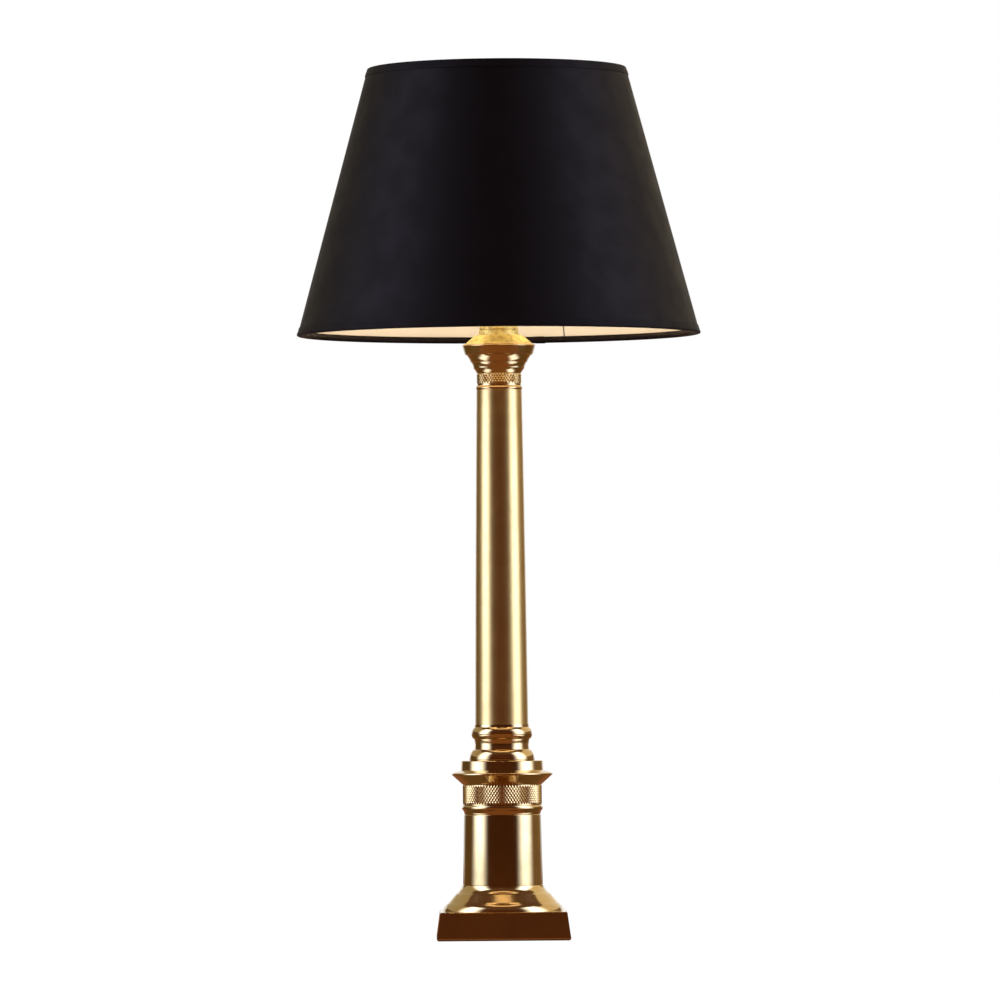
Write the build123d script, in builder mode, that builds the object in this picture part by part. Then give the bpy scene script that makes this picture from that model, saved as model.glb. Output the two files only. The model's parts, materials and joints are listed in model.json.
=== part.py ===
from build123d import *
import os
from math import atan, degrees, hypot

# A column table lamp: a square weighted plinth, a turned brass pedestal and column, a lampholder
# with a wire shade carrier, and a tapered shade that lifts off it.
# Millimetres, +Z up, front towards -Y, origin at the centre of the underside.

# ---- fits and gaps -----------------------------------------------------------------------------
RUNNING_FIT = 0.05    # a nut or a pin on its thread or in its hole, in radius
SPIGOT_FIT = 0.1      # a spigot in its socket, in radius
BODY_GAP = 0.3        # between pieces that move past each other
GLUE_GAP = 0.1        # adhesive or weld between two skins

# ---- base --------------------------------------------------------------------------------------
PAD_T = 1.0
PAD_INSET = 0.8
PAD_CORNER_R = 1.5
PLINTH_W = 115.5
PLINTH_BATTER = 3.25   # how far each side leans in
PLINTH_H = 23.5
PLINTH_WALL = 3.0
PLINTH_PLATE_T = 3.5
PLINTH_EDGE = 0.6
WEIGHT_CLEAR = 1.0
WEIGHT_POCKET_R = 20.0
WEIGHT_POCKET_H = 11.0
CORD_SLOT_W = 12.0
NOTCH_CLEAR = 4.0     # round the cord inlet's nut and tail, in the weight

# ---- cord inlet in the back wall of the plinth -------------------------------------------------
BUSH_Z = 11.5
BUSH_BORE_R = 3.75
BUSH_BARREL_R = 5.0
BUSH_FLANGE_R = 7.0
BUSH_FLANGE_T = 2.0
BUSH_NUT_FLATS = 14.0
BUSH_NUT_T = 4.0
BUSH_TAIL = 3.5
INLET_LAND = 4.0      # wall left between the flange and the nut

# ---- tie rod, nuts and washers -----------------------------------------------------------------
ROD_R = 5.0
ROD_BORE_R = 3.5
ROD_TAIL = 2.0
ROD_HOLE_CLEAR = 0.3
NUT_FLATS = 14.0
NUT_T = 5.0
WASHER_R = 11.0
WASHER_T = 1.5
EARTH_TAG_R = 8.0
EARTH_TAG_T = 0.8
EARTH_TAIL_L = 6.0
EARTH_TAIL_W = 4.0

# ---- turned brass stack: heights from the plinth up --------------------------------------------
FOOT_H = 22.0
DRUM_H = 61.0
BEAD_H = 8.5
LOWER_KNURL_H = 17.5
DISH_H = 12.3
SEAT_DISC_H = 8.2
COLUMN_BASE_H = 31.2
COLUMN_H = 289.7
ASTRAGAL_H = 4.9
UPPER_KNURL_H = 9.6
CAPITAL_H = 25.3
CONE_H = 7.3
NECK_LOWER_H = 4.6
NECK_UPPER_H = 3.4

# radii of the same stack
FOOT_INSET = 2.2      # from the plinth's top edge in to the foot
FOOT_OVOLO_OUT = 4.7
FOOT_OVOLO_H = 7.0
FOOT_ARRIS_STEP = 0.9
FOOT_COVE_OUT = 6.6   # from the drum out to where the foot's straight slope starts
FOOT_COVE_H = 7.4
DRUM_BOTTOM_R = 34.5
DRUM_TOP_R = 33.3
BEAD_R = 34.7
BEAD_ROUND_H = 4.5
LOWER_KNURL_R = 34.25
DISH_R = 43.6
DISH_RIM_Z = 8.0
DISH_RIM_H = 2.0
DISH_RIM_IN = 0.5       # the rim's lower edge, inside its widest
DISH_LIP_IN = 0.5       # the rim's upper edge, inside its widest
SEAT_DISC_R = 35.9
COLUMN_BASE_R = 28.4
SCOTIA_R = 23.5
TORUS_UNDERCUT = 0.2    # the foot of the lower torus, inside its widest
TORUS_SHOULDER = 3.5
TORUS_STEP = 0.5
SCOTIA_LIP = 0.4
UPPER_TORUS_OUT = 0.6
COLUMN_FILLET_R = 23.6
COLUMN_BOTTOM_R = 23.0
COLUMN_TOP_R = 19.7
COLUMN_SWELL = 0.2
COLUMN_WALL = 1.5
ASTRAGAL_R = 20.2
ASTRAGAL_BEAD_H = 3.2
UPPER_KNURL_R = 19.3
CAPITAL_R = 31.6
CONE_BOTTOM_R = 28.9
CONE_TOP_R = 21.3
CONE_EDGE_H = 0.8
NECK_LOWER_R = 17.2
NECK_UPPER_R = 16.6

# how the stack locates on itself
PEDESTAL_WALL = 2.8
SPIGOT_H = 2.5
SPIGOT_WALL = 3.0
SOCKET_EXTRA = 0.3
DRUM_SHELF = 5.0
COLUMN_SEAT_WALL = 3.5
COLUMN_SHELF = 8.0
TAIL_WALL = 3.0
COLLAR_WALL = 2.0       # of the thin rings round the capital's tail, under their grooves
EDGE_BREAK = 0.4
GROOVE_DEPTH = 0.8
GROOVE_H = 0.6

# how far the arc of a moulding stands off its chord, as a share of the chord; minus is hollow
NOSE = 0.3
ROUND = 0.2
SOFT_ROUND = 0.15
TORUS = 0.13
SLIGHT = 0.1
FAINT = 0.05

# ---- lampholder, measured up from its own foot -------------------------------------------------
HOLDER_R = 19.5
HOLDER_WALL = 1.0
HOLDER_NECK_R = 8.0
HOLDER_NECK_H = 5.0
HOLDER_CAP_H = 19.5
HOLDER_CAP_RIM_H = 5.0
HOLDER_H = 58.0
ROD_IN_HOLDER = 9.0
COLLAR_OUT = 2.0
COLLAR_H = 1.5
COLLAR_Z = 31.0
THREAD_DEPTH = 0.5
THREAD_PITCH = 1.5
THREAD_TURNS = 8
THREAD_START = 0.5      # above the collar
HOLDER_MOUTH_R = 15.0
HOLDER_LIP_H = 1.0
CORE_Z = 29.0
CORE_H = 12.0
CORE_EDGE_R = 1.0
SCREW_SHELL_R = 13.6
SCREW_SHELL_WALL = 0.6
CONTACT_T = 0.8
CONTACT_W = 6.0
CONTACT_L = 18.0
CONTACT_RISE = 0.8
TERMINAL_R = 2.0
TERMINAL_L = 3.0
TERMINAL_X = 9.0
TERMINAL_Y = 9.0
GRUB_R = 1.5
GRUB_Z = 2.5

# ---- push bar ----------------------------------------------------------------------------------
BAR_R = 2.2
BAR_Z = 25.0
BAR_OUT = 5.0         # how far a pressed-in end still stands out of the shell
BAR_TRAVEL = 5.0
BAR_TIP_R = 3.2
BAR_TIP_L = 3.0
BAR_TIP_EDGE_R = 0.8

# ---- shade carrier -----------------------------------------------------------------------------
CARRIER_PLATE_BORDER = 4.5
CARRIER_PLATE_T = 1.5
CARRIER_H = 144.7
CARRIER_WIRE_R = 1.5
CARRIER_LEG_OUT = 6.0
CARRIER_LEG_BEND = 6.0
CARRIER_FOOT_SEAT = 3.0
CARRIER_RING_HALF_W = 2.0
CARRIER_RING_T = 2.5
CARRIER_LEGS = 3
SHADE_RING_WALL = 5.5
SHADE_RING_H = 7.0
SHADE_RING_SHOULDER_H = 1.5
SHADE_RING_SHOULDER_W = 2.0

# ---- shade -------------------------------------------------------------------------------------
SHADE_BOTTOM_R = 175.0
SHADE_TOP_R = 112.5
SHADE_H = 231.5
SHADE_RECESS = 37.2   # from the carrier's top ring up to the top edge of the shade
COVER_T = 0.8
LINER_T = 0.6
SKIN_GAP = 0.2
EDGE_WIRE_R = 1.5
TRIM_T = 0.4
TRIM_OUTER_H = 7.0
TRIM_INNER_H = 5.2
FITTER_RING_W = 6.0
FITTER_RING_T = 2.0
FITTER_SKIRT_H = 3.5
FITTER_SKIRT_T = 1.4
FITTER_ARM_R = 1.5
FITTER_ARMS = 3

# ---- bulb, measured up from its contact --------------------------------------------------------
BULB_R = 30.0
BULB_H = 105.0
BULB_CAP_R = 13.1
BULB_CAP_H = 25.0
BULB_CAP_WALL = 0.5
BULB_THREAD_PITCH = 3.6
BULB_THREAD_TURNS = 5
BULB_THREAD_DEPTH = 0.5
BULB_THREAD_START = 1.0
BULB_GLASS_T = 0.8
BULB_NECK_Z = 33.0
BULB_NECK_STRAIGHT = 4.0
BULB_GLASS_IN_CAP = 4.0
BULB_CONTACT_R = 4.5
BULB_CONTACT_H = 1.2
BULB_INSULATOR_H = 2.6
BULB_INSULATOR_FOOT = 0.4
BULB_CONTACT_FLAT_R = 3.5
FILAMENT_R = 0.9
FILAMENT_L = 34.0
FILAMENT_RING_R = 9.0
FILAMENTS = 4
FILAMENT_Z = 54.0
SUPPORT_WIRE_R = 0.5
SUPPORT_WIRE_Z = 1.0    # above the foot of the filaments
STEM_R = 3.0
STEM_FLARE_Z = 24.0

# ---- heights that follow -----------------------------------------------------------------------
PLINTH_TOP = PAD_T + PLINTH_H
PLATE_UNDER = PLINTH_TOP - PLINTH_PLATE_T
DRUM_Z = PLINTH_TOP + FOOT_H
BEAD_Z = DRUM_Z + DRUM_H
LOWER_KNURL_Z = BEAD_Z + BEAD_H
DISH_Z = LOWER_KNURL_Z + LOWER_KNURL_H
SEAT_DISC_Z = DISH_Z + DISH_H
COLUMN_BASE_Z = SEAT_DISC_Z + SEAT_DISC_H
COLUMN_Z = COLUMN_BASE_Z + COLUMN_BASE_H
ASTRAGAL_Z = COLUMN_Z + COLUMN_H
UPPER_KNURL_Z = ASTRAGAL_Z + ASTRAGAL_H
CAPITAL_Z = UPPER_KNURL_Z + UPPER_KNURL_H
CONE_Z = CAPITAL_Z + CAPITAL_H
NECK_LOWER_Z = CONE_Z + CONE_H
NECK_UPPER_Z = NECK_LOWER_Z + NECK_LOWER_H
NECK_TOP = NECK_UPPER_Z + NECK_UPPER_H
TOP_NUT_Z = NECK_TOP + WASHER_T
HOLDER_Z = TOP_NUT_Z + NUT_T + BODY_GAP
WEIGHT_Z = PAD_T + WEIGHT_CLEAR
BOTTOM_WASHER_Z = WEIGHT_Z + WEIGHT_POCKET_H - WASHER_T
EARTH_TAG_Z = BOTTOM_WASHER_Z - EARTH_TAG_T
BOTTOM_NUT_Z = EARTH_TAG_Z - NUT_T
ROD_BOTTOM = BOTTOM_NUT_Z - ROD_TAIL
ROD_TOP = HOLDER_Z + ROD_IN_HOLDER
CARRIER_Z = HOLDER_Z + COLLAR_Z + COLLAR_H
SHADE_RING_Z = CARRIER_Z + CARRIER_PLATE_T + BODY_GAP
CARRIER_TOP = CARRIER_Z + CARRIER_H
FITTER_Z = CARRIER_TOP + CARRIER_RING_T + BODY_GAP
SHADE_TOP = FITTER_Z + SHADE_RECESS
SHADE_BOTTOM = SHADE_TOP - SHADE_H
CORE_TOP = HOLDER_Z + CORE_Z + CORE_H
BULB_Z = CORE_TOP + CONTACT_T + CONTACT_RISE + BODY_GAP

# ---- radii and widths that follow --------------------------------------------------------------
HEX = 2 / 3 ** 0.5    # across corners over across flats
PLINTH_TOP_HALF = PLINTH_W / 2 - PLINTH_BATTER
CAVITY_HALF = PLINTH_TOP_HALF - PLINTH_WALL
FOOT_R = PLINTH_TOP_HALF - FOOT_INSET
FOOT_ARRIS_R = FOOT_R - FOOT_OVOLO_OUT
PEDESTAL_BORE_R = DRUM_TOP_R - PEDESTAL_WALL
PEDESTAL_CORE_R = PEDESTAL_BORE_R - SPIGOT_WALL
PEDESTAL_SPIGOT_R = PEDESTAL_BORE_R - SPIGOT_FIT
COLUMN_BASE_BORE_R = SCOTIA_R - COLUMN_SEAT_WALL
COLUMN_BORE_BOTTOM_R = COLUMN_BOTTOM_R - COLUMN_WALL
COLUMN_BORE_TOP_R = COLUMN_TOP_R - COLUMN_WALL
TAIL_R = min(UPPER_KNURL_R, COLUMN_TOP_R) - GROOVE_DEPTH - COLLAR_WALL
TAIL_BORE_R = TAIL_R - TAIL_WALL
ROD_HOLE_R = ROD_R + ROD_HOLE_CLEAR
THREAD_R = HOLDER_R + THREAD_DEPTH
COLLAR_R = HOLDER_R + COLLAR_OUT
SHADE_RING_R = THREAD_R + SHADE_RING_WALL
CARRIER_PLATE_R = SHADE_RING_R + CARRIER_PLATE_BORDER
CARRIER_LEG_R = CARRIER_PLATE_R + CARRIER_LEG_OUT
BAR_L = 2 * (HOLDER_R + BAR_OUT) + BAR_TRAVEL
SOCKET_H = SPIGOT_H + SOCKET_EXTRA
SPOT_FACE_Y = CAVITY_HALF + INLET_LAND
NOTCH_W = BUSH_NUT_FLATS * HEX + 2 * NOTCH_CLEAR
NOTCH_D = BUSH_NUT_T + BUSH_TAIL + NOTCH_CLEAR
SHADE_SLOPE = (SHADE_BOTTOM_R - SHADE_TOP_R) / SHADE_H
LINER_DEPTH = TRIM_T + GLUE_GAP + COVER_T + SKIN_GAP
LINER_FACE = LINER_DEPTH + LINER_T
WIRE_DEPTH = LINER_FACE + GLUE_GAP + EDGE_WIRE_R
CARRIER_RING_OUT_R = CARRIER_LEG_R + CARRIER_RING_HALF_W
CARRIER_RING_IN_R = CARRIER_LEG_R - CARRIER_RING_HALF_W
FITTER_SKIRT_IN_R = CARRIER_RING_OUT_R + 2 * BODY_GAP
FITTER_R = FITTER_SKIRT_IN_R + FITTER_SKIRT_T


def trace(base, steps):
    """Draw a closed outline in radius and height. A step (r, z) is reached by a straight line, and a
    step (r, z, f) by an arc that stands f times its chord to the right of the way it is drawn."""
    points = [(step[0], step[1] + base) for step in steps]
    rises = [step[2] if len(step) > 2 else 0 for step in steps]
    for n, end in enumerate(points):
        start = points[n - 1]
        if rises[n]:
            right = (end[1] - start[1], start[0] - end[0])
            middle = [(start[i] + end[i]) / 2 + rises[n] * right[i] for i in (0, 1)]
            ThreePointArc(start, tuple(middle), end)
        else:
            Line(start, end)


def turn(base, steps, mode=Mode.ADD):
    """Turn a closed outline about the Z axis."""
    with BuildSketch(Plane.XZ) as section:
        with BuildLine():
            trace(base, steps)
        make_face()
    revolve(section.sketch, axis=Axis.Z, mode=mode)


def ring(base, height, outer_r, inner_r):
    """A plain ring with flat faces."""
    turn(base, [(inner_r, 0), (outer_r, 0), (outer_r, height), (inner_r, height)])


def bored(height, spigot_r, core_r, socket_r):
    """The inner edge of a moulding, from its top down: a spigot that enters the piece above it, and a
    socket that takes the spigot of the piece below."""
    return [
        (spigot_r, height),
        (spigot_r, height + SPIGOT_H),
        (core_r, height + SPIGOT_H),
        (core_r, SOCKET_H),
        (socket_r, SOCKET_H),
        (socket_r, 0),
    ]


def hexagon(plane, flats, thickness, bore_r):
    """A hexagonal nut on a plane."""
    with BuildSketch(plane) as face:
        RegularPolygon(flats * HEX / 2, 6)
        Circle(bore_r, mode=Mode.SUBTRACT)
    extrude(face.sketch, amount=thickness)


def thread_edge(radius, depth, pitch, turns, bottom):
    """The outer edge of a thread drawn as grooves, from the bottom up."""
    edge = []
    for n in range(turns):
        z = bottom + n * pitch
        edge += [(radius - depth, z), (radius, z + pitch * 0.3), (radius, z + pitch * 0.7)]
    return edge + [(radius - depth, bottom + turns * pitch)]


def wall_r(z, depth):
    """Radius of the shade's wall at a height, at a depth measured square to its outer face."""
    return SHADE_BOTTOM_R - (z - SHADE_BOTTOM) * SHADE_SLOPE - depth * hypot(1, SHADE_SLOPE)


def skin(depth, thickness):
    """A conical skin of the shade between its two edge strips."""
    low = SHADE_BOTTOM + TRIM_T + GLUE_GAP
    high = SHADE_TOP - TRIM_T - GLUE_GAP
    turn(0, [
        (wall_r(low, depth + thickness), low),
        (wall_r(low, depth), low),
        (wall_r(high, depth), high),
        (wall_r(high, depth + thickness), high),
    ])


def edge_wire_z(edge, up):
    """Height of the wire ring inside an edge of the shade; up is 1 at the bottom edge, -1 at the top."""
    return edge + up * (TRIM_T + GLUE_GAP + EDGE_WIRE_R)


def edge_wire(edge, up, radius=EDGE_WIRE_R, mode=Mode.ADD):
    """The wire ring inside an edge of the shade."""
    z = edge_wire_z(edge, up)
    with BuildSketch(Plane.XZ) as section:
        with Locations((wall_r(z, WIRE_DEPTH), z)):
            Circle(radius)
    revolve(section.sketch, axis=Axis.Z, mode=mode)


def edge_trim(edge, up):
    """The strip rolled over an edge of the shade: down the outside, round the wire and back to the
    liner."""
    outer = edge + up * TRIM_OUTER_H
    floor = edge + up * TRIM_T
    inner = edge + up * (TRIM_T + GLUE_GAP + 2 * EDGE_WIRE_R)
    tuck = edge + up * TRIM_INNER_H
    near = WIRE_DEPTH + EDGE_WIRE_R + 2 * GLUE_GAP
    far = near + TRIM_T
    tucked = LINER_FACE + GLUE_GAP
    turn(0, [
        (wall_r(edge, 0), edge),
        (wall_r(outer, 0), outer),
        (wall_r(outer, TRIM_T), outer),
        (wall_r(floor, TRIM_T), floor),
        (wall_r(floor, near), floor),
        (wall_r(inner, near), inner),
        (wall_r(tuck, tucked), tuck),
        (wall_r(tuck, tucked + TRIM_T), tuck),
        (wall_r(inner, far), inner),
        (wall_r(edge, far), edge),
    ])


def arm_rods(radius, mode=Mode.ADD):
    """The straight rods from the fitter ring up to the top wire of the shade."""
    start_r = FITTER_R - FITTER_SKIRT_T / 2
    start_z = FITTER_Z
    end_z = edge_wire_z(SHADE_TOP, -1)
    end_r = wall_r(end_z, WIRE_DEPTH)
    run = hypot(end_r - start_r, end_z - start_z)
    for n in range(FITTER_ARMS):
        turned = Plane.XY.rotated((0, 0, 360 / FITTER_ARMS * n + 180 / FITTER_ARMS))
        start = turned.from_local_coords((start_r, 0, start_z))
        along = turned.from_local_coords((end_r, 0, end_z)) - start
        with BuildSketch(Plane(origin=start, z_dir=along)) as section:
            Circle(radius)
        extrude(section.sketch, amount=run, mode=mode)


def bulb_outline(inset):
    """Half outline of the bulb's glass, drawn smaller by an inset."""
    low = BULB_Z + BULB_INSULATOR_H + BULB_CAP_H - BULB_GLASS_IN_CAP
    flare = BULB_Z + BULB_NECK_Z - BULB_NECK_STRAIGHT
    equator = BULB_Z + BULB_H - BULB_R
    neck_r = BULB_CAP_R - BULB_THREAD_DEPTH - BULB_CAP_WALL - BODY_GAP - inset
    with BuildSketch(Plane.XZ) as section:
        with BuildLine():
            Line((0, low), (neck_r, low))
            Line((neck_r, low), (neck_r, flare))
            Spline((neck_r, flare), (BULB_R - inset, equator), tangents=[(0, 1), (0, 1)])
            CenterArc((0, equator), BULB_R - inset, 0, 90)
            Line((0, BULB_Z + BULB_H - inset), (0, low))
        make_face()
    return section.sketch


def save(piece, name):
    """Label a finished piece and write it."""
    piece.part.label = name
    export_step(piece.part, f"parts/{name}.step")


os.makedirs("parts", exist_ok=True)

# ==== base ======================================================================================

with BuildPart() as felt_pad:
    with BuildSketch():
        RectangleRounded(PLINTH_W - 2 * PAD_INSET, PLINTH_W - 2 * PAD_INSET, PAD_CORNER_R)
    extrude(amount=PAD_T)
save(felt_pad, "felt_pad")

with BuildPart() as plinth:
    with BuildSketch(Plane.XY.offset(PAD_T)):
        Rectangle(PLINTH_W, PLINTH_W)
    extrude(amount=PLINTH_H, taper=degrees(atan(PLINTH_BATTER / PLINTH_H)))
    chamfer(plinth.edges().group_by(Axis.Z)[-1], PLINTH_EDGE)
    with BuildSketch(Plane.XY.offset(PAD_T)):
        Rectangle(2 * CAVITY_HALF, 2 * CAVITY_HALF)
    extrude(amount=PLINTH_H - PLINTH_PLATE_T, mode=Mode.SUBTRACT)
    with BuildSketch(Plane.XY.offset(PLATE_UNDER)):
        Circle(PEDESTAL_BORE_R)
    extrude(amount=PLINTH_PLATE_T, mode=Mode.SUBTRACT)
    with BuildSketch(Plane.XZ.offset(-SPOT_FACE_Y)):
        with Locations((0, BUSH_Z)):
            Circle(BUSH_FLANGE_R + 2 * BODY_GAP)
    extrude(amount=SPOT_FACE_Y - PLINTH_W / 2, mode=Mode.SUBTRACT)
    with BuildSketch(Plane.XZ.offset(-CAVITY_HALF)):
        with Locations((0, BUSH_Z)):
            Circle(BUSH_BARREL_R + SPIGOT_FIT)
    extrude(amount=-INLET_LAND, mode=Mode.SUBTRACT)
save(plinth, "plinth")

with BuildPart() as base_weight:
    with BuildSketch(Plane.XY.offset(WEIGHT_Z)):
        Rectangle(2 * (CAVITY_HALF - WEIGHT_CLEAR), 2 * (CAVITY_HALF - WEIGHT_CLEAR))
        Circle(ROD_HOLE_R, mode=Mode.SUBTRACT)
        with Locations((0, CAVITY_HALF - WEIGHT_CLEAR)):
            Rectangle(NOTCH_W, 2 * NOTCH_D, mode=Mode.SUBTRACT)
    extrude(amount=PLATE_UNDER - WEIGHT_Z)
    with BuildSketch(Plane.XY.offset(WEIGHT_Z)):
        Circle(WEIGHT_POCKET_R)
        with Locations((0, CAVITY_HALF / 2)):
            Rectangle(CORD_SLOT_W, CAVITY_HALF)
    extrude(amount=WEIGHT_POCKET_H, mode=Mode.SUBTRACT)
save(base_weight, "base_weight")

with BuildPart() as cable_bush:
    with BuildSketch(Plane.XZ.offset(-SPOT_FACE_Y)):
        with Locations((0, BUSH_Z)):
            Circle(BUSH_FLANGE_R)
    extrude(amount=-BUSH_FLANGE_T)
    fillet(cable_bush.edges().group_by(Axis.Y)[-1], BUSH_FLANGE_T / 2)
    with BuildSketch(Plane.XZ.offset(-SPOT_FACE_Y)):
        with Locations((0, BUSH_Z)):
            Circle(BUSH_BARREL_R)
    extrude(amount=INLET_LAND + BUSH_NUT_T + BUSH_TAIL)
    with BuildSketch(Plane.XZ.offset(-SPOT_FACE_Y - BUSH_FLANGE_T)):
        with Locations((0, BUSH_Z)):
            Circle(BUSH_BORE_R)
    extrude(amount=BUSH_FLANGE_T + INLET_LAND + BUSH_NUT_T + BUSH_TAIL, mode=Mode.SUBTRACT)
save(cable_bush, "cable_bush")

with BuildPart() as cable_bush_nut:
    hexagon(
        Plane(origin=(0, CAVITY_HALF, BUSH_Z), x_dir=(1, 0, 0), z_dir=(0, -1, 0)),
        BUSH_NUT_FLATS,
        BUSH_NUT_T,
        BUSH_BARREL_R + RUNNING_FIT,
    )
save(cable_bush_nut, "cable_bush_nut")

# ==== rod and what clamps the stack =============================================================

with BuildPart() as tie_rod:
    ring(ROD_BOTTOM, ROD_TOP - ROD_BOTTOM, ROD_R, ROD_BORE_R)
save(tie_rod, "tie_rod")

with BuildPart() as rod_nuts:
    for z in (BOTTOM_NUT_Z, TOP_NUT_Z):
        hexagon(Plane.XY.offset(z), NUT_FLATS, NUT_T, ROD_R + RUNNING_FIT)
save(rod_nuts, "rod_nuts")

with BuildPart() as rod_washers:
    for z in (BOTTOM_WASHER_Z, NECK_TOP):
        ring(z, WASHER_T, WASHER_R, ROD_HOLE_R)
save(rod_washers, "rod_washers")

with BuildPart() as earth_tag:
    with BuildSketch(Plane.XY.offset(EARTH_TAG_Z)):
        Circle(EARTH_TAG_R)
        with Locations((EARTH_TAG_R, 0)):
            Rectangle(2 * EARTH_TAIL_L, EARTH_TAIL_W)
        Circle(ROD_HOLE_R, mode=Mode.SUBTRACT)
    extrude(amount=EARTH_TAG_T)
save(earth_tag, "earth_tag")

# ==== turned stack ==============================================================================

with BuildPart() as pedestal_foot:
    turn(PLINTH_TOP, [
        (FOOT_R, 0),
        (FOOT_ARRIS_R, FOOT_OVOLO_H, SLIGHT),
        (FOOT_ARRIS_R - FOOT_ARRIS_STEP, FOOT_OVOLO_H + FOOT_ARRIS_STEP),
        (DRUM_BOTTOM_R + FOOT_COVE_OUT, FOOT_H - FOOT_COVE_H),
        (DRUM_BOTTOM_R + FOOT_ARRIS_STEP, FOOT_H, -SLIGHT),
        (PEDESTAL_SPIGOT_R, FOOT_H),
        (PEDESTAL_SPIGOT_R, FOOT_H + SPIGOT_H),
        (PEDESTAL_CORE_R, FOOT_H + SPIGOT_H),
        (PEDESTAL_CORE_R, -SPIGOT_H),
        (PEDESTAL_SPIGOT_R, -SPIGOT_H),
        (PEDESTAL_SPIGOT_R, 0),
    ])
save(pedestal_foot, "pedestal_foot")

with BuildPart() as pedestal_drum:
    turn(DRUM_Z, [
        (DRUM_BOTTOM_R - EDGE_BREAK, 0),
        (DRUM_BOTTOM_R, EDGE_BREAK),
        (DRUM_TOP_R, DRUM_H - EDGE_BREAK),
        (DRUM_TOP_R - EDGE_BREAK, DRUM_H),
        (PEDESTAL_SPIGOT_R, DRUM_H),
        (PEDESTAL_SPIGOT_R, DRUM_H + SPIGOT_H),
        (PEDESTAL_CORE_R, DRUM_H + SPIGOT_H),
        (PEDESTAL_CORE_R, DRUM_H - DRUM_SHELF),
        (PEDESTAL_BORE_R, DRUM_H - DRUM_SHELF),
        (PEDESTAL_BORE_R, 0),
    ])
save(pedestal_drum, "pedestal_drum")

with BuildPart() as drum_bead:
    turn(BEAD_Z, [
        (DRUM_TOP_R - EDGE_BREAK, 0),
        (BEAD_R - EDGE_BREAK, BEAD_H - BEAD_ROUND_H, -SLIGHT),
        (BEAD_R - EDGE_BREAK, BEAD_H - GROOVE_H, ROUND),
        (BEAD_R - GROOVE_DEPTH, BEAD_H - GROOVE_H),
        (BEAD_R - GROOVE_DEPTH, BEAD_H),
    ] + bored(BEAD_H, PEDESTAL_SPIGOT_R, PEDESTAL_CORE_R, PEDESTAL_BORE_R))
save(drum_bead, "drum_bead")

with BuildPart() as lower_knurled_collar:
    turn(LOWER_KNURL_Z, [
        (LOWER_KNURL_R - EDGE_BREAK, 0),
        (LOWER_KNURL_R, EDGE_BREAK),
        (LOWER_KNURL_R, LOWER_KNURL_H - EDGE_BREAK),
        (LOWER_KNURL_R - EDGE_BREAK, LOWER_KNURL_H),
    ] + bored(LOWER_KNURL_H, PEDESTAL_SPIGOT_R, PEDESTAL_CORE_R, PEDESTAL_BORE_R))
save(lower_knurled_collar, "lower_knurled_collar")

with BuildPart() as dish_moulding:
    turn(DISH_Z, [
        (LOWER_KNURL_R, 0),
        (DISH_R - DISH_RIM_IN, DISH_RIM_Z),
        (DISH_R - DISH_LIP_IN, DISH_RIM_Z + DISH_RIM_H, NOSE),
        (SEAT_DISC_R + EDGE_BREAK, DISH_H),
    ] + bored(DISH_H, PEDESTAL_SPIGOT_R, PEDESTAL_CORE_R, PEDESTAL_BORE_R))
save(dish_moulding, "dish_moulding")

with BuildPart() as column_seat_disc:
    turn(SEAT_DISC_Z, [
        (SEAT_DISC_R, 0),
        (SEAT_DISC_R - EDGE_BREAK, SEAT_DISC_H - EDGE_BREAK),
        (SEAT_DISC_R - 2 * EDGE_BREAK, SEAT_DISC_H),
        (COLUMN_BASE_BORE_R - SPIGOT_FIT, SEAT_DISC_H),
        (COLUMN_BASE_BORE_R - SPIGOT_FIT, SEAT_DISC_H + SPIGOT_H),
        (ROD_HOLE_R, SEAT_DISC_H + SPIGOT_H),
        (ROD_HOLE_R, SOCKET_H),
        (PEDESTAL_BORE_R, SOCKET_H),
        (PEDESTAL_BORE_R, 0),
    ])
save(column_seat_disc, "column_seat_disc")

# shares of the attic base's height at its arrises
LOWER_TORUS_TOP = 0.3
SCOTIA_TOP = 0.6
UPPER_TORUS_TOP = 0.91

with BuildPart() as column_base_moulding:
    turn(COLUMN_BASE_Z, [
        (COLUMN_BASE_R - TORUS_UNDERCUT, 0),
        (COLUMN_BASE_R - TORUS_SHOULDER, COLUMN_BASE_H * LOWER_TORUS_TOP, TORUS),
        (SCOTIA_R + SCOTIA_LIP, COLUMN_BASE_H * LOWER_TORUS_TOP + TORUS_STEP),
        (SCOTIA_R + SCOTIA_LIP, COLUMN_BASE_H * SCOTIA_TOP, -FAINT),
        (COLUMN_FILLET_R + 2 * UPPER_TORUS_OUT, COLUMN_BASE_H * SCOTIA_TOP + TORUS_STEP),
        (COLUMN_FILLET_R + UPPER_TORUS_OUT, COLUMN_BASE_H * UPPER_TORUS_TOP, ROUND),
        (COLUMN_FILLET_R, COLUMN_BASE_H * UPPER_TORUS_TOP + GROOVE_H),
        (COLUMN_FILLET_R, COLUMN_BASE_H),
    ] + bored(
        COLUMN_BASE_H,
        COLUMN_BORE_BOTTOM_R - SPIGOT_FIT,
        COLUMN_BASE_BORE_R - SPIGOT_WALL,
        COLUMN_BASE_BORE_R,
    ))
save(column_base_moulding, "column_base_moulding")

SWELL_RISE = COLUMN_SWELL / COLUMN_H

with BuildPart() as column_tube:
    turn(COLUMN_Z, [
        (COLUMN_BOTTOM_R, 0),
        (COLUMN_TOP_R, COLUMN_H, SWELL_RISE),
        (TAIL_R + SPIGOT_FIT, COLUMN_H),
        (TAIL_R + SPIGOT_FIT, COLUMN_H - COLUMN_SHELF),
        (COLUMN_BORE_TOP_R, COLUMN_H - COLUMN_SHELF),
        (COLUMN_BORE_BOTTOM_R, 0),
    ])
save(column_tube, "column_tube")

ASTRAGAL_RISE = ASTRAGAL_R - COLUMN_TOP_R + EDGE_BREAK / 2

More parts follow.
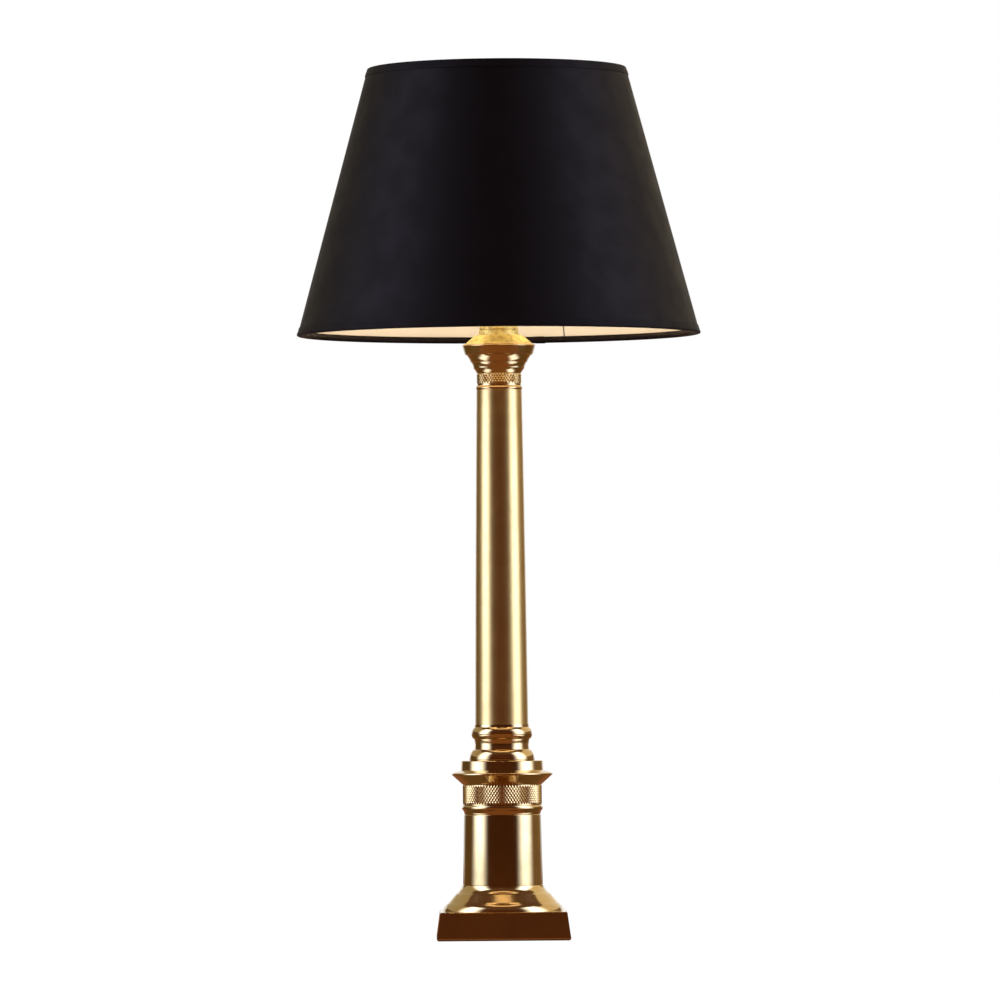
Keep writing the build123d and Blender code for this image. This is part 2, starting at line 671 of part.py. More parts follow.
with BuildPart() as astragal_ring:
    turn(ASTRAGAL_Z, [
        (COLUMN_TOP_R - EDGE_BREAK / 2, 0),
        (COLUMN_TOP_R - EDGE_BREAK / 2, ASTRAGAL_BEAD_H, ASTRAGAL_RISE / ASTRAGAL_BEAD_H),
        (UPPER_KNURL_R - EDGE_BREAK / 2, ASTRAGAL_BEAD_H + EDGE_BREAK),
        (UPPER_KNURL_R - EDGE_BREAK / 2, ASTRAGAL_H),
        (TAIL_R + SPIGOT_FIT, ASTRAGAL_H),
        (TAIL_R + SPIGOT_FIT, 0),
    ])
save(astragal_ring, "astragal_ring")

with BuildPart() as upper_knurled_collar:
    turn(UPPER_KNURL_Z, [
        (UPPER_KNURL_R - EDGE_BREAK, 0),
        (UPPER_KNURL_R, EDGE_BREAK),
        (UPPER_KNURL_R, UPPER_KNURL_H - EDGE_BREAK),
        (UPPER_KNURL_R - EDGE_BREAK, UPPER_KNURL_H),
        (TAIL_R + SPIGOT_FIT, UPPER_KNURL_H),
        (TAIL_R + SPIGOT_FIT, 0),
    ])
save(upper_knurled_collar, "upper_knurled_collar")

# arrises of the capital: share of the way out to its rim, share of its height, and the step above
CAPITAL_ARRISES = [(0.19, 0.155, 0.4), (0.36, 0.37, 0.9), (0.7, 0.62, 1.6)]
CAPITAL_OVOLO_TOP = 0.917
CAPITAL_STEP_H = 0.5
CAPITAL_RIM_H = 1.2
CAPITAL_NECK_R = UPPER_KNURL_R + EDGE_BREAK / 2
CAPITAL_TAIL_L = UPPER_KNURL_H + ASTRAGAL_H + COLUMN_SHELF - SOCKET_EXTRA

with BuildPart() as capital:
    edge = [(CAPITAL_NECK_R, 0)]
    for out, up, step in CAPITAL_ARRISES:
        r = CAPITAL_NECK_R + out * (CAPITAL_R - CAPITAL_NECK_R)
        z = up * CAPITAL_H
        edge += [(r, z, -FAINT), (r + step, z + CAPITAL_STEP_H)]
    rim_z = CAPITAL_OVOLO_TOP * CAPITAL_H
    turn(CAPITAL_Z, edge + [
        (CAPITAL_R, rim_z),
        (CAPITAL_R - EDGE_BREAK / 2, rim_z + CAPITAL_RIM_H, SLIGHT),
        (CONE_BOTTOM_R + EDGE_BREAK, CAPITAL_H, SOFT_ROUND),
        (TAIL_BORE_R, CAPITAL_H),
        (TAIL_BORE_R, -CAPITAL_TAIL_L),
        (TAIL_R, -CAPITAL_TAIL_L),
        (TAIL_R, 0),
    ])
save(capital, "capital")

with BuildPart() as capital_cone:
    turn(CONE_Z, [
        (CONE_BOTTOM_R, 0),
        (CONE_BOTTOM_R - EDGE_BREAK, CONE_EDGE_H),
        (CONE_TOP_R, CONE_H - EDGE_BREAK),
        (CONE_TOP_R - EDGE_BREAK, CONE_H),
        (ROD_HOLE_R, CONE_H),
        (ROD_HOLE_R, -SPIGOT_H),
        (TAIL_BORE_R - SPIGOT_FIT, -SPIGOT_H),
        (TAIL_BORE_R - SPIGOT_FIT, 0),
    ])
save(capital_cone, "capital_cone")

with BuildPart() as neck_ring_lower:
    turn(NECK_LOWER_Z, [
        (NECK_LOWER_R, 0),
        (NECK_LOWER_R, NECK_LOWER_H - GROOVE_H),
        (NECK_LOWER_R - GROOVE_DEPTH, NECK_LOWER_H),
        (ROD_HOLE_R, NECK_LOWER_H),
        (ROD_HOLE_R, 0),
    ])
save(neck_ring_lower, "neck_ring_lower")

with BuildPart() as neck_ring_upper:
    turn(NECK_UPPER_Z, [
        (NECK_UPPER_R - EDGE_BREAK, 0),
        (NECK_UPPER_R - EDGE_BREAK, NECK_UPPER_H, SOFT_ROUND),
        (ROD_HOLE_R, NECK_UPPER_H),
        (ROD_HOLE_R, 0),
    ])
save(neck_ring_upper, "neck_ring_upper")

# ==== lampholder ================================================================================

DOME_TOP = HOLDER_CAP_H - HOLDER_CAP_RIM_H

with BuildPart() as lampholder_cap:
    turn(HOLDER_Z, [
        (ROD_R + RUNNING_FIT, 0),
        (HOLDER_NECK_R, 0),
        (HOLDER_NECK_R, HOLDER_NECK_H),
        (HOLDER_R, DOME_TOP, ROUND),
        (HOLDER_R, HOLDER_CAP_H),
        (HOLDER_R - HOLDER_WALL, HOLDER_CAP_H),
        (HOLDER_R - HOLDER_WALL, DOME_TOP),
        (HOLDER_NECK_R, HOLDER_NECK_H + HOLDER_WALL, -ROUND),
        (ROD_R + RUNNING_FIT, HOLDER_NECK_H + HOLDER_WALL),
    ])
    with BuildSketch(Plane.YZ.offset(ROD_R)):
        with Locations((0, HOLDER_Z + GRUB_Z)):
            Circle(GRUB_R + RUNNING_FIT)
    extrude(amount=HOLDER_NECK_R, mode=Mode.SUBTRACT)
save(lampholder_cap, "lampholder_cap")

with BuildPart() as grub_screw:
    with BuildSketch(Plane.YZ.offset(ROD_R)):
        with Locations((0, HOLDER_Z + GRUB_Z)):
            Circle(GRUB_R)
    extrude(amount=HOLDER_NECK_R - ROD_R)
save(grub_screw, "grub_screw")

with BuildPart() as lampholder_shell:
    thread_z = COLLAR_Z + COLLAR_H + THREAD_START
    turn(HOLDER_Z, [
        (HOLDER_R - HOLDER_WALL, HOLDER_CAP_H),
        (HOLDER_R, HOLDER_CAP_H),
        (HOLDER_R, COLLAR_Z),
        (COLLAR_R, COLLAR_Z),
        (COLLAR_R, COLLAR_Z + COLLAR_H),
        (HOLDER_R, COLLAR_Z + COLLAR_H),
    ] + thread_edge(THREAD_R, THREAD_DEPTH, THREAD_PITCH, THREAD_TURNS, thread_z) + [
        (HOLDER_R, HOLDER_H - EDGE_BREAK),
        (HOLDER_R - EDGE_BREAK, HOLDER_H),
        (HOLDER_MOUTH_R, HOLDER_H),
        (HOLDER_MOUTH_R, HOLDER_H - HOLDER_LIP_H),
        (HOLDER_R - HOLDER_WALL, HOLDER_H - HOLDER_LIP_H),
    ])
    with BuildSketch(Plane.YZ.offset(-2 * HOLDER_R)):
        with Locations((0, HOLDER_Z + BAR_Z)):
            Circle(BAR_R + BODY_GAP)
    extrude(amount=4 * HOLDER_R, mode=Mode.SUBTRACT)
save(lampholder_shell, "lampholder_shell")

with BuildPart() as lampholder_core:
    with BuildSketch(Plane.XY.offset(HOLDER_Z + CORE_Z)):
        Circle(HOLDER_R - HOLDER_WALL - SPIGOT_FIT)
        with Locations((TERMINAL_X, TERMINAL_Y), (-TERMINAL_X, TERMINAL_Y)):
            Circle(TERMINAL_R + RUNNING_FIT, mode=Mode.SUBTRACT)
    extrude(amount=CORE_H)
    under_edges = lampholder_core.edges().group_by(Axis.Z)[0]
    fillet(under_edges.sort_by(SortBy.RADIUS)[-1], CORE_EDGE_R)
save(lampholder_core, "lampholder_core")

with BuildPart() as terminal_screws:
    with BuildSketch(Plane.XY.offset(HOLDER_Z + CORE_Z)):
        with Locations((TERMINAL_X, TERMINAL_Y), (-TERMINAL_X, TERMINAL_Y)):
            Circle(TERMINAL_R)
    extrude(amount=TERMINAL_L)
save(terminal_screws, "terminal_screws")

with BuildPart() as screw_shell:
    shell_h = HOLDER_H - HOLDER_LIP_H - CORE_Z - CORE_H - BODY_GAP
    ring(CORE_TOP, shell_h, SCREW_SHELL_R + SCREW_SHELL_WALL, SCREW_SHELL_R)
save(screw_shell, "screw_shell")

with BuildPart() as centre_contact:
    with BuildSketch(Plane.XY.offset(CORE_TOP)):
        Rectangle(CONTACT_L, CONTACT_W)
    extrude(amount=CONTACT_T)
    with BuildSketch(Plane.XY.offset(CORE_TOP + CONTACT_T)):
        Circle(CONTACT_W / 2 - EDGE_BREAK)
    extrude(amount=CONTACT_RISE)
save(centre_contact, "centre_contact")

with BuildPart() as switch_bar:
    with BuildSketch(Plane.YZ.offset(-(BAR_L + BAR_TRAVEL) / 2)):
        with Locations((0, HOLDER_Z + BAR_Z)):
            Circle(BAR_R)
    extrude(amount=BAR_L)
    for x in (-(BAR_L + BAR_TRAVEL) / 2, (BAR_L - BAR_TRAVEL) / 2 - BAR_TIP_L):
        with BuildSketch(Plane.YZ.offset(x)):
            with Locations((0, HOLDER_Z + BAR_Z)):
                Circle(BAR_TIP_R)
        extrude(amount=BAR_TIP_L)
    tip_edges = switch_bar.edges().filter_by(GeomType.CIRCLE)
    fillet(tip_edges.group_by(Axis.X)[0] + tip_edges.group_by(Axis.X)[-1], BAR_TIP_EDGE_R)
save(switch_bar, "switch_bar")

with BuildPart() as shade_ring:
    turn(SHADE_RING_Z, [
        (THREAD_R + SPIGOT_FIT, 0),
        (SHADE_RING_R - EDGE_BREAK, 0),
        (SHADE_RING_R, EDGE_BREAK),
        (SHADE_RING_R, SHADE_RING_H - SHADE_RING_SHOULDER_H),
        (SHADE_RING_R - SHADE_RING_SHOULDER_W, SHADE_RING_H, ROUND),
        (THREAD_R + SPIGOT_FIT, SHADE_RING_H),
    ])
save(shade_ring, "shade_ring")

# ==== shade carrier =============================================================================

with BuildPart() as carrier_base_ring:
    ring(CARRIER_Z, CARRIER_PLATE_T, CARRIER_PLATE_R, THREAD_R + BODY_GAP)
save(carrier_base_ring, "carrier_base_ring")

with BuildPart() as carrier_legs:
    foot_z = CARRIER_Z + CARRIER_PLATE_T + CARRIER_WIRE_R
    for n in range(CARRIER_LEGS):
        turned = Plane.XY.rotated((0, 0, 360 / CARRIER_LEGS * n + 90))
        foot = turned.from_local_coords((CARRIER_PLATE_R - CARRIER_FOOT_SEAT, 0, foot_z))
        corner = turned.from_local_coords((CARRIER_LEG_R, 0, foot_z))
        head = turned.from_local_coords((CARRIER_LEG_R, 0, CARRIER_TOP))
        with BuildLine() as route:
            FilletPolyline(foot, corner, head, radius=CARRIER_LEG_BEND)
        with BuildSketch(Plane(origin=foot, z_dir=corner - foot)) as section:
            Circle(CARRIER_WIRE_R)
        sweep(section.sketch, path=route.line)
save(carrier_legs, "carrier_legs")

with BuildPart() as carrier_top_ring:
    ring(CARRIER_TOP, CARRIER_RING_T, CARRIER_RING_OUT_R, CARRIER_RING_IN_R)
    fillet(carrier_top_ring.edges().group_by(Axis.Z)[-1], EDGE_BREAK)
save(carrier_top_ring, "carrier_top_ring")

# ==== shade =====================================================================================

with BuildPart() as shade_cover:
    skin(TRIM_T + GLUE_GAP, COVER_T)
save(shade_cover, "shade_cover")

with BuildPart() as shade_liner:
    skin(LINER_DEPTH, LINER_T)
save(shade_liner, "shade_liner")

with BuildPart() as shade_top_wire:
    edge_wire(SHADE_TOP, -1)
save(shade_top_wire, "shade_top_wire")

with BuildPart() as shade_bottom_wire:
    edge_wire(SHADE_BOTTOM, 1)
save(shade_bottom_wire, "shade_bottom_wire")

with BuildPart() as shade_top_trim:
    edge_trim(SHADE_TOP, -1)
    arm_rods(FITTER_ARM_R + GLUE_GAP, mode=Mode.SUBTRACT)
save(shade_top_trim, "shade_top_trim")

with BuildPart() as shade_bottom_trim:
    edge_trim(SHADE_BOTTOM, 1)
save(shade_bottom_trim, "shade_bottom_trim")

with BuildPart() as fitter_ring:
    turn(FITTER_Z, [
        (FITTER_R - FITTER_RING_W, 0),
        (FITTER_SKIRT_IN_R, 0),
        (FITTER_SKIRT_IN_R, -FITTER_SKIRT_H),
        (FITTER_R, -FITTER_SKIRT_H),
        (FITTER_R, FITTER_RING_T),
        (FITTER_R - FITTER_RING_W, FITTER_RING_T),
    ])
save(fitter_ring, "fitter_ring")

with BuildPart() as fitter_arms:
    arm_rods(FITTER_ARM_R)
    with BuildSketch(Plane.XY.offset(FITTER_Z - SHADE_RECESS)):
        Circle(FITTER_R + GLUE_GAP)
    extrude(amount=2 * SHADE_RECESS, mode=Mode.SUBTRACT)
    edge_wire(SHADE_TOP, -1, EDGE_WIRE_R + GLUE_GAP, mode=Mode.SUBTRACT)
save(fitter_arms, "fitter_arms")

# ==== bulb ======================================================================================

with BuildPart() as bulb_envelope:
    revolve(bulb_outline(0), axis=Axis.Z)
    revolve(bulb_outline(BULB_GLASS_T), axis=Axis.Z, mode=Mode.SUBTRACT)
save(bulb_envelope, "bulb_envelope")

with BuildPart() as bulb_cap:
    cap_r = BULB_CAP_R - BULB_THREAD_DEPTH
    turn(BULB_Z + BULB_INSULATOR_H, [
        (cap_r - BULB_CAP_WALL, 0),
        (cap_r, 0),
    ] + thread_edge(
        BULB_CAP_R,
        BULB_THREAD_DEPTH,
        BULB_THREAD_PITCH,
        BULB_THREAD_TURNS,
        BULB_THREAD_START,
    ) + [
        (cap_r, BULB_CAP_H),
        (cap_r - BULB_CAP_WALL, BULB_CAP_H),
    ])
save(bulb_cap, "bulb_cap")

with BuildPart() as bulb_cap_insulator:
    turn(BULB_Z, [
        (BULB_CONTACT_R + GLUE_GAP, BULB_INSULATOR_FOOT),
        (cap_r - EDGE_BREAK, BULB_INSULATOR_H),
        (0, BULB_INSULATOR_H),
        (0, BULB_CONTACT_H),
        (BULB_CONTACT_R + GLUE_GAP, BULB_CONTACT_H),
    ])
save(bulb_cap_insulator, "bulb_cap_insulator")

with BuildPart() as bulb_contact:
    turn(BULB_Z, [
        (0, 0),
        (BULB_CONTACT_FLAT_R, 0),
        (BULB_CONTACT_R, BULB_CONTACT_H, ROUND),
        (0, BULB_CONTACT_H),
    ])
save(bulb_contact, "bulb_contact")

with BuildPart() as bulb_stem:
    turn(BULB_Z, [
        (0, STEM_FLARE_Z),
        (cap_r - BULB_CAP_WALL - BODY_GAP - BULB_GLASS_T - GLUE_GAP, STEM_FLARE_Z),
        (STEM_R, STEM_FLARE_Z + 3 * STEM_R, -SLIGHT),
        (STEM_R, FILAMENT_Z + 2 * STEM_R),
        (0, FILAMENT_Z + 2 * STEM_R),
    ])
save(bulb_stem, "bulb_stem")

with BuildPart() as bulb_filaments:
    with BuildSketch(Plane.XY.offset(BULB_Z + FILAMENT_Z)):
        with PolarLocations(FILAMENT_RING_R, FILAMENTS):
            Circle(FILAMENT_R)
    extrude(amount=FILAMENT_L)
save(bulb_filaments, "bulb_filaments")

with BuildPart() as bulb_support_wires:
    spoke_l = FILAMENT_RING_R - FILAMENT_R - GLUE_GAP
    top_spoke_z = BULB_Z + FILAMENT_Z + FILAMENT_L - 2 * SUPPORT_WIRE_R
    for z, inner_r in ((BULB_Z + FILAMENT_Z + SUPPORT_WIRE_Z, STEM_R + GLUE_GAP), (top_spoke_z, 0)):
        for n in range(FILAMENTS):
            turned = Plane.XY.rotated((0, 0, 360 / FILAMENTS * n))
            start = turned.from_local_coords((inner_r, 0, z))
            along = turned.from_local_coords((spoke_l, 0, z)) - start
            with BuildSketch(Plane(origin=start, z_dir=along)):
                Circle(SUPPORT_WIRE_R)
            extrude(amount=along.length)
    with BuildSketch(Plane.XY.offset(BULB_Z + FILAMENT_Z + 2 * STEM_R)):
        Circle(SUPPORT_WIRE_R)
    extrude(amount=FILAMENT_L - 2 * STEM_R - SUPPORT_WIRE_R)
save(bulb_support_wires, "bulb_support_wires")
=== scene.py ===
"""A column table lamp, dressed for a picture.

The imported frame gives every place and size: metres, +Z up, the front towards -Y. The classes below
finish its brass stand, its knurled bands, its fabric shade, its lampholder and its bulb, and set up
a plain pale studio round it.
"""

import json
import logging
import math
from dataclasses import dataclass
from enum import Enum
from typing import Any, Callable, Iterable, Sequence

import bmesh
import bpy
from mathutils import Matrix, Vector


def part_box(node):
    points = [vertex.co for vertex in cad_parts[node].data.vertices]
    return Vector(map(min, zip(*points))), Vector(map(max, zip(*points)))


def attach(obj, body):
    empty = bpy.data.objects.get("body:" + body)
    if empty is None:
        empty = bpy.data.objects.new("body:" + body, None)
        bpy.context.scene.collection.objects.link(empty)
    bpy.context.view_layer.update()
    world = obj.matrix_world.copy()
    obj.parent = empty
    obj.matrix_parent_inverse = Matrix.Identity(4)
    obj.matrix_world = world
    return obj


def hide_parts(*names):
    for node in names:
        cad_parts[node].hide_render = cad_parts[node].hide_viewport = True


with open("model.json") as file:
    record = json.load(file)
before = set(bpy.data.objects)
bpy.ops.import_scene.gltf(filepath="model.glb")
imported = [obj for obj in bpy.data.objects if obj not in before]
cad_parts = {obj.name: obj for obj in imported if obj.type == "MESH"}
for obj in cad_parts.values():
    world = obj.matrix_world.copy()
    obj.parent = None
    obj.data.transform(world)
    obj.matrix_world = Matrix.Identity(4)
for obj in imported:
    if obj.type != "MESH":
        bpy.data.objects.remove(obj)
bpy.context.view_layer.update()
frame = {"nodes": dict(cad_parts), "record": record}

LOG = logging.getLogger("lamp")
MM = 0.001
TURN = 2 * math.pi

Color = tuple[float, float, float]
Point = tuple[float, float]
Outline = list[Point]


class Body(Enum):
    """The bodies of the frame that pieces are hung on."""

    STAND = "lamp_stand"
    CLAMP = "clamp_ring"
    SHADE = "shade"
    BULB = "bulb"


class Edge(Enum):
    """An edge of the shade; the value is the way from the edge to the middle of the wall."""

    TOP = -1
    BOTTOM = 1


# --- Node trees ---

# The numbers of the colour sockets on a Mix node.
MIX_FACTOR, MIX_FIRST, MIX_SECOND, MIX_RESULT = 0, 6, 7, 2

# How the patches, upright marks and grain of a hard finish are spread, in waves per metre.
PATCH_EDGE = (0.42, 0.72)
MARK_STRETCH = (1.0, 1.0, 0.09)
MARK_WAVES = 900.0
MARK_EDGE = (0.62, 0.74)
SMUDGE_WAVES = 60.0
GRAIN_WAVES = 1400.0
AGED_ROUGHER = 0.08

# How threads stand over their gaps, and how thick stretches of thread are spread.
THREAD_SHARE, CROSSING_SHARE = 0.7, 0.3
GAP_EDGE = (0.0, 0.6)
SLUB_STRETCH = 0.04
SLUB_WAVES = 1500.0
SLUB_EDGE = (0.5, 0.75)
SLUB_SHOWN = 0.5
CLOTH_WAVES = 40.0
CLOTH_EDGE = (0.3, 0.7)


class Board:
    """A node tree that is being wired up."""

    def __init__(self, tree: bpy.types.NodeTree) -> None:
        """Start on an emptied tree."""
        self.tree = tree
        tree.nodes.clear()

    def add(
        self, kind: str, inputs: dict[Any, Any] | None = None, **settings: Any
    ) -> bpy.types.Node:
        """Add a node.

        Args:
            kind: The node's type name.
            inputs: A value or an output socket for each named or numbered input.
            settings: The node's own properties.

        Returns:
            The new node.
        """
        node = self.tree.nodes.new(kind)
        for key, value in settings.items():
            setattr(node, key, value)
        for key, value in (inputs or {}).items():
            self.put(node.inputs[key], value)
        return node

    def put(self, socket: bpy.types.NodeSocket, value: Any) -> None:
        """Give an input a value, or join it to an output socket.

        Args:
            socket: The input.
            value: The value, or the output socket.
        """
        if isinstance(value, bpy.types.NodeSocket):
            self.tree.links.new(value, socket)
        elif isinstance(value, tuple) and len(value) == 3 and socket.type == "RGBA":
            socket.default_value = (*value, 1.0)
        else:
            socket.default_value = value

    def maths(self, operation: str, *values: Any, clamp: bool = False) -> bpy.types.NodeSocket:
        """Add a Math node and return its result."""
        inputs = dict(enumerate(values))
        return self.add("ShaderNodeMath", inputs, operation=operation, use_clamp=clamp).outputs[0]

    def ramp(
        self, value: Any, low: float, high: float, to_low: float = 0.0, to_high: float = 1.0
    ) -> bpy.types.NodeSocket:
        """Map a value smoothly from one range to another.

        Args:
            value: The value or socket.
            low: The start of its range.
            high: The end of its range.
            to_low: What the start becomes.
            to_high: What the end becomes.

        Returns:
            The result.
        """
        inputs = {
            "Value": value, "From Min": low, "From Max": high, "To Min": to_low, "To Max": to_high
        }
        return self.add("ShaderNodeMapRange", inputs, interpolation_type="SMOOTHSTEP").outputs[0]

    def blend(self, factor: Any, first: Any, second: Any) -> bpy.types.NodeSocket:
        """Mix two colours and return the result."""
        inputs = {MIX_FACTOR: factor, MIX_FIRST: first, MIX_SECOND: second}
        return self.add("ShaderNodeMix", inputs, data_type="RGBA").outputs[MIX_RESULT]

    def noise(
        self, vector: Any, scale: Any, detail: float = 2.0, rough: float = 0.5
    ) -> bpy.types.NodeSocket:
        """Add a noise texture and return its value."""
        inputs = {"Vector": vector, "Scale": scale, "Detail": detail, "Roughness": rough}
        return self.add("ShaderNodeTexNoise", inputs).outputs[0]

    def stretch(self, vector: Any, scale: tuple[float, float, float]) -> bpy.types.NodeSocket:
        """Scale a vector along each axis and return the result."""
        return self.add("ShaderNodeMapping", {"Vector": vector, "Scale": scale}).outputs[0]


def new_group(
    name: str, inputs: dict[str, Sequence[str]], outputs: dict[str, Sequence[str]]
) -> tuple[Board, Any, Any]:
    """Start a shader node group.

    Args:
        name: The group's name.
        inputs: The names of the inputs of each kind (Vector, Color, Float).
        outputs: The names of the outputs of each kind.

    Returns:
        The board, the outputs of its Group Input, and the inputs of its Group Output.
    """
    tree = bpy.data.node_groups.new(name, "ShaderNodeTree")
    for side, kinds in (("INPUT", inputs), ("OUTPUT", outputs)):
        for kind, labels in kinds.items():
            for label in labels:
                tree.interface.new_socket(
                    name=label, in_out=side, socket_type=f"NodeSocket{kind}"
                )
    board = Board(tree)
    return board, board.add("NodeGroupInput").outputs, board.add("NodeGroupOutput").inputs


def surface_wear_group() -> bpy.types.NodeTree:
    """Soft patches of a second colour, uneven polish and fine upright marks, for hard finishes."""
    board, given, wanted = new_group(
        "surface_wear",
        {
            "Vector": ["Vector"],
            "Color": ["Color", "Aged Color"],
            "Float": ["Patch Size", "Patches", "Roughness", "Spread", "Marks"],
        },
        {"Color": ["Color"], "Float": ["Roughness", "Height"]},
    )
    place = given["Vector"]
    patch_waves = board.maths("DIVIDE", 1.0, given["Patch Size"])
    patches = board.ramp(board.noise(place, patch_waves, 5.0, 0.6), *PATCH_EDGE)
    stretched = board.stretch(place, MARK_STRETCH)
    marks = board.ramp(board.noise(stretched, MARK_WAVES, 3.0, 0.7), *MARK_EDGE)
    marks = board.maths("MULTIPLY", marks, given["Marks"])
    aged = board.maths("MULTIPLY", patches, given["Patches"])
    aged = board.maths("MAXIMUM", aged, marks)
    board.put(wanted["Color"], board.blend(aged, given["Color"], given["Aged Color"]))
    uneven = board.maths("SUBTRACT", board.noise(place, SMUDGE_WAVES, 3.0), 0.5)
    rough = board.maths("MULTIPLY_ADD", uneven, given["Spread"], given["Roughness"])
    board.put(wanted["Roughness"], board.maths("MULTIPLY_ADD", aged, AGED_ROUGHER, rough))
    grain = board.noise(place, GRAIN_WAVES, 3.0, 0.6)
    board.put(wanted["Height"], board.maths("MULTIPLY_ADD", marks, -1.0, grain))
    return board.tree


def woven_cloth_group() -> bpy.types.NodeTree:
    """Threads that pass over and under each other, with thick and thin stretches, in metres."""
    board, given, wanted = new_group(
        "woven_cloth",
        {"Vector": ["Vector"], "Color": ["Color", "Gap Color"], "Float": ["Thread", "Slub"]},
        {"Color": ["Color"], "Float": ["Height"]},
    )
    place = given["Vector"]
    axes = board.add("ShaderNodeSeparateXYZ", {"Vector": place}).outputs
    waves = []
    for axis in (0, 1):
        count = board.maths("DIVIDE", axes[axis], given["Thread"])
        waves.append(board.maths("SINE", board.maths("MULTIPLY", count, math.pi)))
    over = board.maths("MULTIPLY", *waves)
    crossing = board.maths("MULTIPLY", over, CROSSING_SHARE)
    threads = board.maths("MULTIPLY_ADD", board.maths("ABSOLUTE", over), THREAD_SHARE, crossing)
    ways = [
        board.noise(board.stretch(place, scale), SLUB_WAVES, 2.0)
        for scale in ((1.0, SLUB_STRETCH, 1.0), (SLUB_STRETCH, 1.0, 1.0))
    ]
    slub = board.ramp(board.maths("MAXIMUM", *ways), *SLUB_EDGE)
    slub = board.maths("MULTIPLY", slub, given["Slub"])
    board.put(wanted["Height"], board.maths("ADD", threads, slub))
    shown = board.maths(
        "MULTIPLY_ADD", slub, SLUB_SHOWN, board.ramp(threads, *GAP_EDGE), clamp=True
    )
    board.put(wanted["Color"], board.blend(shown, given["Gap Color"], given["Color"]))
    return board.tree


def new_material(name: str) -> tuple[bpy.types.Material, Board]:
    """Start a material and return it with the board of its node tree."""
    made = bpy.data.materials.new(name)
    made.use_nodes = True
    return made, Board(made.node_tree)


# --- Finishes ---


@dataclass(frozen=True)
class Finish:
    """A hard finish. Colours are linear, sizes in metres."""

    slot: str
    color: Color
    aged_color: Color
    roughness: float
    metallic: float = 0.0
    patch_size: float = 0.03
    patches: float = 0.3
    spread: float = 0.08
    marks: float = 0.2
    grain_depth: float = 0.004 * MM
    extras: tuple[tuple[str, Any], ...] = ()
    nodes: tuple[str, ...] = ()

    def material(self, groups: dict[str, bpy.types.NodeTree]) -> bpy.types.Material:
        """Build the material.

        Args:
            groups: The shared shader node groups by name.

        Returns:
            The material, named after its slot.
        """
        made, board = new_material(self.slot)
        given = {
            "Vector": board.add("ShaderNodeTexCoord").outputs["Object"],
            "Color": self.color,
            "Aged Color": self.aged_color,
            "Patch Size": self.patch_size,
            "Patches": self.patches,
            "Roughness": self.roughness,
            "Spread": self.spread,
            "Marks": self.marks,
        }
        wear = board.add("ShaderNodeGroup", given, node_tree=groups["surface_wear"]).outputs
        self.surface(board, wear["Color"], wear["Roughness"], wear["Height"], self.grain_depth)
        return made

    def surface(self, board: Board, color: Any, roughness: Any, height: Any, depth: float) -> None:
        """Finish the tree with the bump, the Principled shader and the output.

        Args:
            board: The material's board.
            color: The colour's socket.
            roughness: The roughness's socket.
            height: The relief's socket, from 0 to about 1.
            depth: The depth of the relief.
        """
        bump = board.add("ShaderNodeBump", {"Height": height, "Distance": depth})
        inputs = {
            "Base Color": color,
            "Roughness": roughness,
            "Normal": bump.outputs["Normal"],
            "Metallic": self.metallic,
        }
        shader = board.add("ShaderNodeBsdfPrincipled", inputs | dict(self.extras))
        board.add("ShaderNodeOutputMaterial", {"Surface": shader.outputs[0]})


@dataclass(frozen=True)
class Cloth(Finish):
    """A woven finish; the piece's UV map is in metres along and across the threads.

    A cone's UV map is its flat cut, with the tip at the origin, so a seam is a line at one angle.
    """

    thread: float = 0.45 * MM
    slub: float = 0.3
    thread_depth: float = 0.03 * MM
    # The seam's cone, and the width and colour of the dark line painted along it as the lap's
    # shadow.
    seam_node: str | None = None
    seam_angle: float = 0.0016
    seam_shadow_color: Color = (0.03, 0.02, 0.015)

    def material(self, groups: dict[str, bpy.types.NodeTree]) -> bpy.types.Material:
        """Build the material, with the weave, and a painted shadow along the seam, on the UV map.

        Args:
            groups: The shared shader node groups by name.

        Returns:
            The material, named after its slot.
        """
        made, board = new_material(self.slot)
        place = board.add("ShaderNodeTexCoord").outputs["UV"]
        given = {
            "Vector": place,
            "Color": self.color,
            "Gap Color": self.aged_color,
            "Thread": self.thread,
            "Slub": self.slub,
        }
        weave = board.add("ShaderNodeGroup", given, node_tree=groups["woven_cloth"]).outputs
        color = weave["Color"]
        # A thin dark line at the seam's angle: painted shadow of the lap's edge.
        if self.seam_node:
            axes = board.add("ShaderNodeSeparateXYZ", {"Vector": place}).outputs
            bend = board.maths("ABSOLUTE", board.maths("ARCTAN2", axes[0], axes[1]))
            end = math.pi * Cone.of(self.seam_node).fold
            line = board.ramp(bend, end - self.seam_angle, end)
            color = board.blend(line, color, self.seam_shadow_color)
        smooth_end, rough_end = self.roughness - self.spread / 2, self.roughness + self.spread / 2
        uneven = board.noise(place, CLOTH_WAVES, 3.0)
        rough = board.ramp(uneven, *CLOTH_EDGE, smooth_end, rough_end)
        self.surface(board, color, rough, weave["Height"], self.thread_depth)
        return made


BRASS = (0.62, 0.43, 0.19)
BRASS_AGED = (0.34, 0.19, 0.065)
LACQUER = (("Coat Weight", 0.5), ("Coat Roughness", 0.04))
BLACK = (0.0012, 0.0009, 0.0008)
BLACK_GAPS = (0.0008, 0.0006, 0.0005)
BLACK_SATIN = (
    ("Specular IOR Level", 0.14),
    ("Specular Tint", (1.0, 0.72, 0.72)),
    ("Sheen Weight", 0.035),
    ("Sheen Roughness", 0.25),
    ("Sheen Tint", (0.95, 0.72, 0.8)),
)
CLEAR = (("Transmission Weight", 1.0), ("IOR", 1.5))

